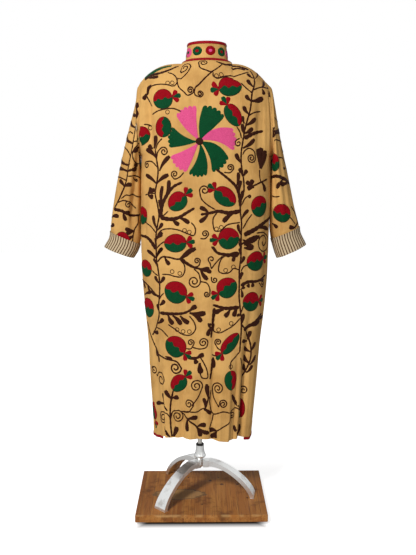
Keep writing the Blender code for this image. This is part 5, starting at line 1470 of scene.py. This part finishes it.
class Needlework:
    """The embroidery of one panel, gathered line by line and patch by patch into one piece."""

    def __init__(self, ground, mirror=1.0, shift=(0.0, 0.0)):
        self.ground = ground
        self.turn_to(mirror, shift)
        self.points, self.faces, self.uv, self.kinds = [], [], [], []
        self.count = 0

    def turn_to(self, mirror, shift):
        """Sets which way round a design is sewn, 1 or -1, and how far it is moved, in centimetres."""
        self.mirror = np.array([mirror, 1.0]) * 0.01
        self.shift = np.array(shift) * 0.01

    def flat(self, places):
        """Places in centimetres as metres across and up the cloth."""
        return np.asarray(places, float) * self.mirror + self.shift

    def add(self, flat, height, faces, uv, colour):
        """Lays a closed form on the cloth. Where the form would be inside out, its faces are turned."""
        points = self.ground.lay(flat, height).reshape(-1, 3)
        a, b, c, d = ((points - points.mean(axis=0))[faces[:, k]] for k in range(4))
        volume = np.sum(a * np.cross(b, c)) + np.sum(a * np.cross(c, d))
        self.points.append(points)
        self.faces.append((faces if volume > 0 else faces[:, ::-1]) + self.count)
        self.uv.append(uv.reshape(-1, 2))
        self.kinds.append(np.full(len(faces), COLOURS.index(colour)))
        self.count += len(points)

    def thread(self, path, half_widths, colour="brown"):
        """A line of thread: its section is carried along the path, and both ends are closed.

        Only the stretches that lie on the cloth are sewn.
        """
        on_cloth = self.ground.inside(path)
        for run in np.split(np.arange(len(path)), np.flatnonzero(np.diff(on_cloth)) + 1):
            if len(run) > 2 and on_cloth[run[0]]:
                self.line(path[run], half_widths[run], colour)

    def line(self, path, half_widths, colour):
        """One whole stretch of thread."""
        way = unit(np.gradient(path, axis=0))
        left = np.stack([-way[:, 1], way[:, 0]], axis=-1)
        across = half_widths[:, None] * THREAD_SECTION[None, :, 0]
        flat = path[:, None, :] + left[:, None, :] * across[..., None]
        tall = THREAD_HEIGHT * np.clip(half_widths / 0.0014, 0.55, 1.15)
        height = tall[:, None] * THREAD_SECTION[None, :, 1]
        along = along_path(path)
        uv = np.stack([np.broadcast_to(along[:, None], across.shape), across], axis=-1)
        size = len(THREAD_SECTION)
        last = (len(path) - 1) * size
        cap = np.array([(0, 1, 2, 5), (2, 3, 4, 5)])
        faces = np.concatenate([ring_order(len(path), size, True), cap, cap[:, ::-1] + last])
        self.add(flat, height, faces, uv, colour)

    def vine(self, places, width, turns=0.0, centre=None):
        """A line of even width that may end in a coil."""
        path = curve(self.flat(places), THREAD_STEP)
        if turns:
            path = coiled(path, self.flat(centre), turns * np.sign(self.mirror[0]))
        along = along_path(path)
        half = width * 0.0005 * (LINE_SPREAD if width < 5 else BRANCH_SPREAD)
        if width >= 5:
            start, end = (np.abs(places[k][0] - STEMS).min() for k in (0, -1))
            half = half * np.interp(along / along[-1], (0, 1), (1.15, 0.62) if start < end else (0.62, 1.15))
        ends = np.minimum(along, along[-1] - along) / (2 * half)
        uneven = 1 + 0.10 * np.sin(along * 410 + path[0, 0] * 900)
        self.thread(path, half * uneven * np.clip(0.55 + ends, 0, 1))

    def leaf(self, foot, tip, width, colour="brown", bend=0.05):
        """A leaf of thick stitches: narrow at its foot, widest near its round tip, and a little bent."""
        foot, tip = self.flat(foot), self.flat(tip)
        way = (tip - foot) * LEAF_STRETCH
        side = np.array([-way[1], way[0]])
        places = np.linspace(0, 1, len(LEAF_WIDTHS))[:, None]
        path = foot + way * places + side * bend * np.sin(math.pi * places)
        self.thread(path, width * 0.0005 * LEAF_SPREAD * np.array(LEAF_WIDTHS), colour)

    def patch(self, flat, uv, colour, height=THREAD_HEIGHT):
        """A filled shape on a grid of places: domed, with its edge drawn under the cloth's face."""
        inside = self.ground.inside(flat)
        if inside.mean() < 0.15:
            return
        down, over = (np.flatnonzero(inside.any(axis=k)) for k in (1, 0))
        shown = np.s_[max(down[0] - 1, 0) : down[-1] + 2, max(over[0] - 1, 0) : over[-1] + 2]
        flat, uv = flat[shown], uv[shown]
        rows, columns = flat.shape[:2]
        from_top = np.minimum(np.arange(rows), np.arange(rows)[::-1])[:, None]
        from_side = np.minimum(np.arange(columns), np.arange(columns)[::-1])[None, :]
        dome = ease(np.minimum(from_top, from_side) / 1.6)
        outer = -0.0002 + (height + 0.0002) * dome
        faces, _ = wall_faces(rows, columns, False, 1)
        both = np.concatenate([flat.reshape(-1, 2)] * 2)
        heights = np.concatenate([outer.ravel(), np.full(rows * columns, -0.0006)])
        self.add(both, heights, faces, np.concatenate([uv.reshape(-1, 2)] * 2), colour)

    def disc(self, place, half_width, half_height, colour, height=THREAD_HEIGHT):
        """A filled oval."""
        x = -OVAL_END * np.cos(np.linspace(0, math.pi, 13))[None, :]
        y = np.array((-1, -0.92, -0.6, -0.2, 0.2, 0.6, 0.92, 1))[:, None] * np.sqrt(1 - x**2)
        local = np.stack(np.broadcast_arrays(x * half_width, y * half_height), axis=-1)
        self.patch(self.flat(local + place), local * 0.01, colour, height)

    def fruit(self, fruit):
        """A fruit: a red and a green half that meet in a wavy line, an outline, and a calyx of three lobes.

        Its border is an ellipse that is a little fuller at the calyx. The line between the halves is the size
        of a sine with a slower sine added, and goes to zero at both ends. The green half runs on a little way
        under the red one.
        """
        turn = math.radians(fruit.turn)
        axes = np.array([(math.cos(turn), math.sin(turn)), (-math.sin(turn), math.cos(turn))])
        middle = np.array([fruit.across, fruit.up])
        x = -OVAL_END * np.cos(np.linspace(0, math.pi, 19))
        edge = np.sqrt(1 - x**2) * (1 + 0.07 * x)
        start = fruit.across + fruit.up
        wave = 0.34 * np.abs(np.sin(1.35 * math.pi * (x + 0.3 * math.sin(start)))) - 0.16
        wave = (wave + 0.10 * np.sin(2.2 * x + start)) * (1 - x**4)
        for side, colour, under, height in (
            (-fruit.side, "green", 0.06, THREAD_HEIGHT),
            (fruit.side, "red", 0.0, UPPER_PATCH_HEIGHT),
        ):
            border = (wave - side * under) * edge
            y = border + (side * edge - border) * np.array(PATCH_PLACES)[:, None]
            across = np.broadcast_to(x, y.shape) * fruit.length / 2
            local = np.stack([across, y * fruit.width / 2], axis=-1)
            self.patch(self.flat(local @ axes + middle), local * 0.01, colour, height)
        round_it = np.linspace(0, 2 * math.pi, 46)
        rim = polar(0.5, round_it) * (fruit.length, fruit.width)
        rim[:, 1] *= 1 + 0.07 * np.cos(round_it)
        self.thread(self.flat(rim @ axes + middle), np.full(len(rim), OUTLINE))
        if fruit.calyx:
            foot = middle + axes[0] * fruit.length * 0.50
            for lean, colour, size in ((-44, "red", 2.1), (44, "red", 2.1), (0, "green", 2.4)):
                tip = foot + polar(size, turn + math.radians(lean))
                self.leaf(foot, tip, 8.2, colour, bend=0.0)

    def flower(self, place):
        """The big flower: fans that widen from its middle, swirl a little, and end in five scallops."""
        across = np.linspace(-1, 1, 31)
        out = np.linspace(0.06, 1, 17)[:, None]
        past = np.clip(2 * out - 1, -0.7, 1.0)
        scallop = 0.060 * np.abs(np.sin(2.5 * math.pi * (across + 1))) ** 0.7 - 0.05 * across**2
        for petal in PETALS:
            reach = petal.length * out * (0.94 + scallop * ease((out - 0.55) * 2.2))
            turn = petal.turn + (petal.tip_turn - petal.turn) * past
            spread = (petal.half + (petal.tip_half - petal.half) * past) * (0.75 + 0.25 * ease(out * 2.5))
            angle = np.radians(turn + spread * across)
            flat = polar(reach, angle) + place
            uv = np.stack([reach, reach * np.radians(spread * across)], axis=-1) * 0.01
            self.patch(self.flat(flat), uv, petal.colour, PATCH_HEIGHT)
        self.disc(place, 1.2, 1.2, "brown", TOP_PATCH_HEIGHT)

    def sew(self, name):
        """Sews every motif of a named design, over the ridges of its strips' seams."""
        for across, low, high in STRIP_SEAMS.get(name, ()):
            path = curve(self.flat([(across, low), (across, (low + high) / 2), (across, high)]), 0.008)
            self.thread(path, np.full(len(path), RIDGE), "cloth")
        for width, *places in LINES.get(name, ()):
            self.vine(places, width)
        for width, turns, centre, *places in CURLS.get(name, ()):
            self.vine(places, width, turns, centre)
        for across, up in RINGS.get(name, ()):
            ring = self.flat(polar(RING_RADIUS, np.linspace(0, 2.1 * math.pi, 17)) + (across, up))
            self.thread(ring, np.full(len(ring), RING))
        for number, (foot, foot_up, tip, tip_up, width) in enumerate(LEAVES.get(name, ())):
            self.leaf((foot, foot_up), (tip, tip_up), width, bend=0.07 * (-1) ** number)
        for fruit in FRUITS.get(name, ()):
            self.fruit(fruit)

    def piece(self, name):
        """The finished piece, with its colours of thread."""
        points, faces = np.concatenate(self.points), np.concatenate(self.faces)
        finishes = [FINISHES[colour] for colour in COLOURS]
        uv, kinds = np.concatenate(self.uv), np.concatenate(self.kinds)
        return new_piece(name, points, faces, finishes, uv, kinds, smooth_angle=55.0)


def curve(places, step):
    """An even path through a few places: each coordinate is a smooth curve of the distance along them."""
    along = along_path(places)
    at = np.linspace(0, along[-1], max(3, int(along[-1] / step) + 2))
    return np.stack([smooth(along, places[:, k], at) for k in (0, 1)], axis=1)


def coiled(path, centre, turns):
    """The path carried on into a coil round a centre: its radius shrinks evenly to a sixth."""
    spoke = path[-1] - centre
    radius = np.linalg.norm(spoke)
    count = max(12, int(abs(turns) * 2 * math.pi * radius * 0.6 / 0.0022))
    share = np.linspace(0, 1, count + 1)[1:]
    angle = math.atan2(spoke[1], spoke[0]) + 2 * math.pi * turns * share
    reach = radius * (1 - 0.84 * share)
    return np.concatenate([path, centre + polar(reach, angle)])


def make_embroidery(shapes, steps, flats):
    """The embroidery of the back, the fronts, the sleeves and the collar, laid on their surfaces."""
    made = {}
    for name in ("back", "front_left", "front_right", "sleeve_left", "sleeve_right", "collar"):
        points, _, _ = shapes[name]
        off = steps[name]
        across, up = flats[name][..., 0], flats[name][..., 1]
        if name.startswith("sleeve"):
            points, off, across, up = opened_sleeve(points, off)
        elif name == "collar":
            nape = np.argmin(np.abs(points[0, :, 0] - NECK_X) + (points[0, :, 1] < 0))
            across = across - across[:, nape : nape + 1]
            points, off, across, up = points[::-1], off[::-1], across[::-1], up[::-1]
        ground = Ground(points, off, across, up)
        if name == "back":
            work = Needlework(ground)
            work.sew("back")
            work.flower(FLOWER_PLACE)
            work.leaf(*SHOULDER_LEAF, "green")
        elif name.startswith("front"):
            work = Needlework(ground, -1 if name == "front_left" else 1, FRONT_SHIFTS[name])
            work.sew("back")
            work.flower(FLOWER_PLACE)
        elif name == "collar":
            work = Needlework(ground)
            for rosette in ROSETTES:
                place = (rosette.across, rosette.up - BINDING * 100)
                half_sizes = np.array([rosette.half_width, rosette.half_height])
                work.disc(place, *half_sizes, rosette.colour)
                work.disc(place, *half_sizes * ROSETTE_MIDDLE, rosette.middle, UPPER_PATCH_HEIGHT)
        else:
            work = Needlework(ground)
            work.sew(name)
            work.turn_to(-1.0, SLEEVE_SHIFT)
            work.sew("sleeve_right" if name == "sleeve_left" else "sleeve_left")
        made[name] = work.piece(f"embroidery_{name}")
    return made


def opened_sleeve(points, steps):
    """A sleeve's grid cut open at its underarm, with how far across from its back and up from its tip it is.

    Up is measured along the sleeve's own line, and across square to that line.
    """
    columns = points.shape[1]
    order = (np.arange(columns + 1) - columns // 2) % columns
    points, steps = points[:, order], steps[:, order]
    line = unit(points[-1, :-1].mean(axis=0) - points[3, :-1].mean(axis=0))
    tip = points[0, columns // 2]
    up = -(points - tip) @ line
    stride = np.diff(points, axis=1)
    stride = stride - (stride @ line)[..., None] * line
    across = np.linalg.norm(stride, axis=-1).cumsum(axis=1)
    across = np.concatenate([np.zeros((len(points), 1)), across], axis=1)
    middle = columns // 2 + columns // 4
    return points, steps, across - across[:, middle : middle + 1], np.maximum.accumulate(up[::-1])[::-1]


def cut_of(points, closed=False):
    """Width, length and area of the flat cloth that a surface was cut from, measured along the surface."""
    if closed:
        points = np.concatenate([points, points[:, :1]], axis=1)
    across, down = distances(points), distances(points.transpose(1, 0, 2))
    a, b, c, d = points[:-1, :-1], points[1:, :-1], points[1:, 1:], points[:-1, 1:]
    area = np.linalg.norm(np.cross(c - a, d - b), axis=-1).sum() / 2
    width, length = across[:, -1].max(), down[:, -1].max()
    return float(width), float(length), float(min(area, width * length))


def declare_sheets(shapes, cuffs):
    """Works out the width, length and area that every piece of cloth and each cuff was cut to, and does
    nothing more with them; what each rests on and what is sewn to it are listed but not used.
    """
    for name, held, rest, trims in (
        ("back", "draped", "linen_torso", ()),
        ("front_left", "draped", "linen_torso", ("binding_front_left", "binding_hem_left")),
        ("front_right", "draped", "linen_torso", ("binding_front_right", "binding_hem_right")),
        ("sleeve_left", "hung", "sewn_back", ()),
        ("sleeve_right", "hung", "sewn_back", ()),
        ("collar", "draped", "sewn_back", ("binding_neck", "binding_collar")),
    ):
        points, closed, _ = shapes[name]
        width, length, area = cut_of(points, closed)
    for name, cuff in cuffs.items():
        width, length, area = cut_of(cuff_rings(name)[:CUFF_ROWS], True)


def make_cuffs():
    """Turned-back cuffs that show the striped lining, with a soft round fold."""
    made = {}
    for name in SLEEVES:
        rings = cuff_rings(name)
        rows, columns = rings.shape[:2]
        around = np.broadcast_to(distances(rings[:1])[0], (rows, columns))
        uv = np.stack([around, distances(rings.transpose(1, 0, 2)).T], axis=-1).reshape(-1, 2)
        # One row more than there is: the last ring is joined to the first.
        faces = ring_order(rows + 1, columns, True) % (rows * columns)
        if name == "right":
            faces = faces[:, ::-1]
        cuff = new_piece(f"turned_cuff_{name}", rings, faces, [FINISHES["lining"]], uv)
        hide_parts(f"cuff_{name}")
        made[name] = cuff
    return made


def make_form():
    """The torso: the frame's own solid, rounded by subdivision and covered in linen."""
    mesh = bpy.data.meshes.new("linen_torso")
    merged = bmesh.new()
    merged.from_mesh(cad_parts["dress_form"].data)
    bmesh.ops.remove_doubles(merged, verts=merged.verts, dist=0.00005)
    bmesh.ops.join_triangles(merged, faces=merged.faces, angle_face_threshold=0.7, angle_shape_threshold=0.7)
    merged.to_mesh(mesh)
    merged.free()
    torso = bpy.data.objects.new("linen_torso", mesh)
    bpy.context.scene.collection.objects.link(torso)
    mesh.materials.clear()
    mesh.materials.append(FINISHES["form"])
    mesh.shade_smooth()
    rounded = torso.modifiers.new("rounded", "SUBSURF")
    rounded.levels = 2
    rounded.render_levels = 2
    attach(torso, "root")
    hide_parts("dress_form")


def finish_stand():
    """Better finishes for the frame's own metal, rubber and wood."""
    nodes = {
        "steel": ("pole",),
        "rubber": ("bushing",),
        "aluminium": ("hub", "leg_left", "leg_right", "leg_front"),
        "point": ("hub_point",),
        "wood": ("board", "cleat_left", "cleat_right"),
    }
    for finish, names in nodes.items():
        for name in names:
            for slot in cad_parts[name].material_slots:
                slot.material = FINISHES[finish]


# The studio

# How bright the white surround is as light, in reflections, and to the camera.
AMBIENT, REFLECTED, SEEN = 0.13, 0.85, 1.0
WHITE = (1.0, 1.0, 1.0, 1.0)
FLOOR_HALF = 9.0
# The camera: its place from the pole's foot, its turn and its tilt down in degrees, and its sensor and lens
# in millimetres.
CAMERA_PLACE = (-0.005, 2.198, 1.085)
CAMERA_YAW, CAMERA_PITCH = 0.6, 7.64
CAMERA_SENSOR, CAMERA_LENS = 36.0, 42.94
# Lights: name, place, what it points at, width and height, and power.
LIGHTS = (
    ("key", (1.45, 3.0, 3.1), (0, 0, 0.85), (0.7, 0.7), 128.0),
    ("fill", (-1.6, 2.9, 1.5), (0, 0, 0.8), (1.0, 1.6), 7.0),
)


def floor_finish():
    """Pale floor that glows a little, so that it stays white up to the board, with a painted shadow under and
    round the board, where both its colour and its glow are darker.
    """
    finish = Finish("pale_floor")
    x, y, _ = finish.parts(finish.place())
    low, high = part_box("board")
    aside = (x - (low[0] + high[0]) / 2).math("ABSOLUTE") - (high[0] - low[0]) / 2 + 0.020
    before = (y - (low[1] + high[1]) / 2).math("ABSOLUTE") - (high[1] - low[1]) / 2
    away = aside.math("MAXIMUM", before)
    # Share that is clear of the painted shadow: 0 under the board, 1 a few centimetres beyond it.
    near = finish.band(away, -0.020, 0.034)
    # The glow seen by the camera, with the painted shadow: none under the board, white far from it.
    glow_with_painted_shadow = finish.mix(near, (0.0, 0.0, 0.0), (0.80, 0.80, 0.80))
    glow_with_painted_shadow = finish.mix(finish.band(away, 0.05, 0.30), glow_with_painted_shadow, (1.0, 1.0, 1.0))
    # The floor's colour with the painted shadow: dark grey under the board, pale beyond it.
    pale = finish.mix(near, (0.20, 0.20, 0.20), (0.95, 0.95, 0.95))
    seen = finish.node("ShaderNodeLightPath", output="Is Camera Ray")
    finish.join(finish.shader.inputs["Emission Color"], finish.mix(seen, (0.0, 0.0, 0.0), glow_with_painted_shadow))
    return finish.done(pale, 0.9, emission_strength=1.0, specular_ior_level=0.1)


def make_studio():
    """A pale floor, a white surround, and two soft lights behind the camera.

    The key light is high on the camera's left, and a faint one fills in from its right.
    """
    mesh = bpy.data.meshes.new("studio_floor")
    corners = [(x * FLOOR_HALF, y * FLOOR_HALF, 0) for x, y in ((-1, -1), (1, -1), (1, 1), (-1, 1))]
    mesh.from_pydata(corners, [], [(0, 1, 2, 3)])
    floor = bpy.data.objects.new("studio_floor", mesh)
    bpy.context.scene.collection.objects.link(floor)
    mesh.materials.append(floor_finish())
    world = bpy.data.worlds.new("studio")
    bpy.context.scene.world = world
    world.use_nodes = True
    tree = world.node_tree
    shown = tree.nodes["Background"]
    shown.inputs["Color"].default_value = WHITE
    shown.inputs["Strength"].default_value = AMBIENT
    ray = tree.nodes.new("ShaderNodeLightPath")
    result = shown.outputs[0]
    for kind, strength in (("Is Glossy Ray", REFLECTED), ("Is Camera Ray", SEEN)):
        seen = tree.nodes.new("ShaderNodeBackground")
        seen.inputs["Color"].default_value = WHITE
        seen.inputs["Strength"].default_value = strength
        either = tree.nodes.new("ShaderNodeMixShader")
        tree.links.new(ray.outputs[kind], either.inputs[0])
        tree.links.new(result, either.inputs[1])
        tree.links.new(seen.outputs[0], either.inputs[2])
        result = either.outputs[0]
    tree.links.new(result, tree.nodes["World Output"].inputs["Surface"])
    for name, place, target, size, power in LIGHTS:
        light = bpy.data.lights.new(name, "AREA")
        light.shape = "RECTANGLE"
        light.size, light.size_y = size
        light.energy = power
        lamp = bpy.data.objects.new(name, light)
        aim(lamp, place, target)


def aim(item, place, target):
    """Puts a lamp or camera at a place, upright and looking at a target."""
    item.location = place
    way = np.array(target, float) - np.array(place, float)
    level = math.hypot(way[0], way[1])
    item.rotation_euler = (math.pi / 2 + math.atan2(way[2], level), 0.0, math.atan2(-way[0], way[1]))
    bpy.context.scene.collection.objects.link(item)


def make_camera():
    """The photograph's view: from behind, a little lower than the armpits and looking slightly down."""
    camera = bpy.data.objects.new("camera", bpy.data.cameras.new("camera"))
    camera.data.sensor_fit = "VERTICAL"
    camera.data.sensor_height = CAMERA_SENSOR
    camera.data.lens = CAMERA_LENS
    camera.data.clip_start = 0.05
    yaw, pitch = math.radians(CAMERA_YAW), math.radians(CAMERA_PITCH)
    place = np.array(CAMERA_PLACE) + (STAND_X, 0.0, 0.0)
    look = np.array([-math.sin(yaw), -math.cos(yaw), -math.tan(pitch)])
    aim(camera, place, place + look)
    bpy.context.scene.camera = camera
    bpy.context.scene.view_settings.view_transform = "Standard"


robe, robe_shapes, robe_steps, robe_flats = make_robe()
embroidery = make_embroidery(robe_shapes, robe_steps, robe_flats)
cuffs = make_cuffs()
make_form()
declare_sheets(robe_shapes, cuffs)
finish_stand()
make_studio()
make_camera()
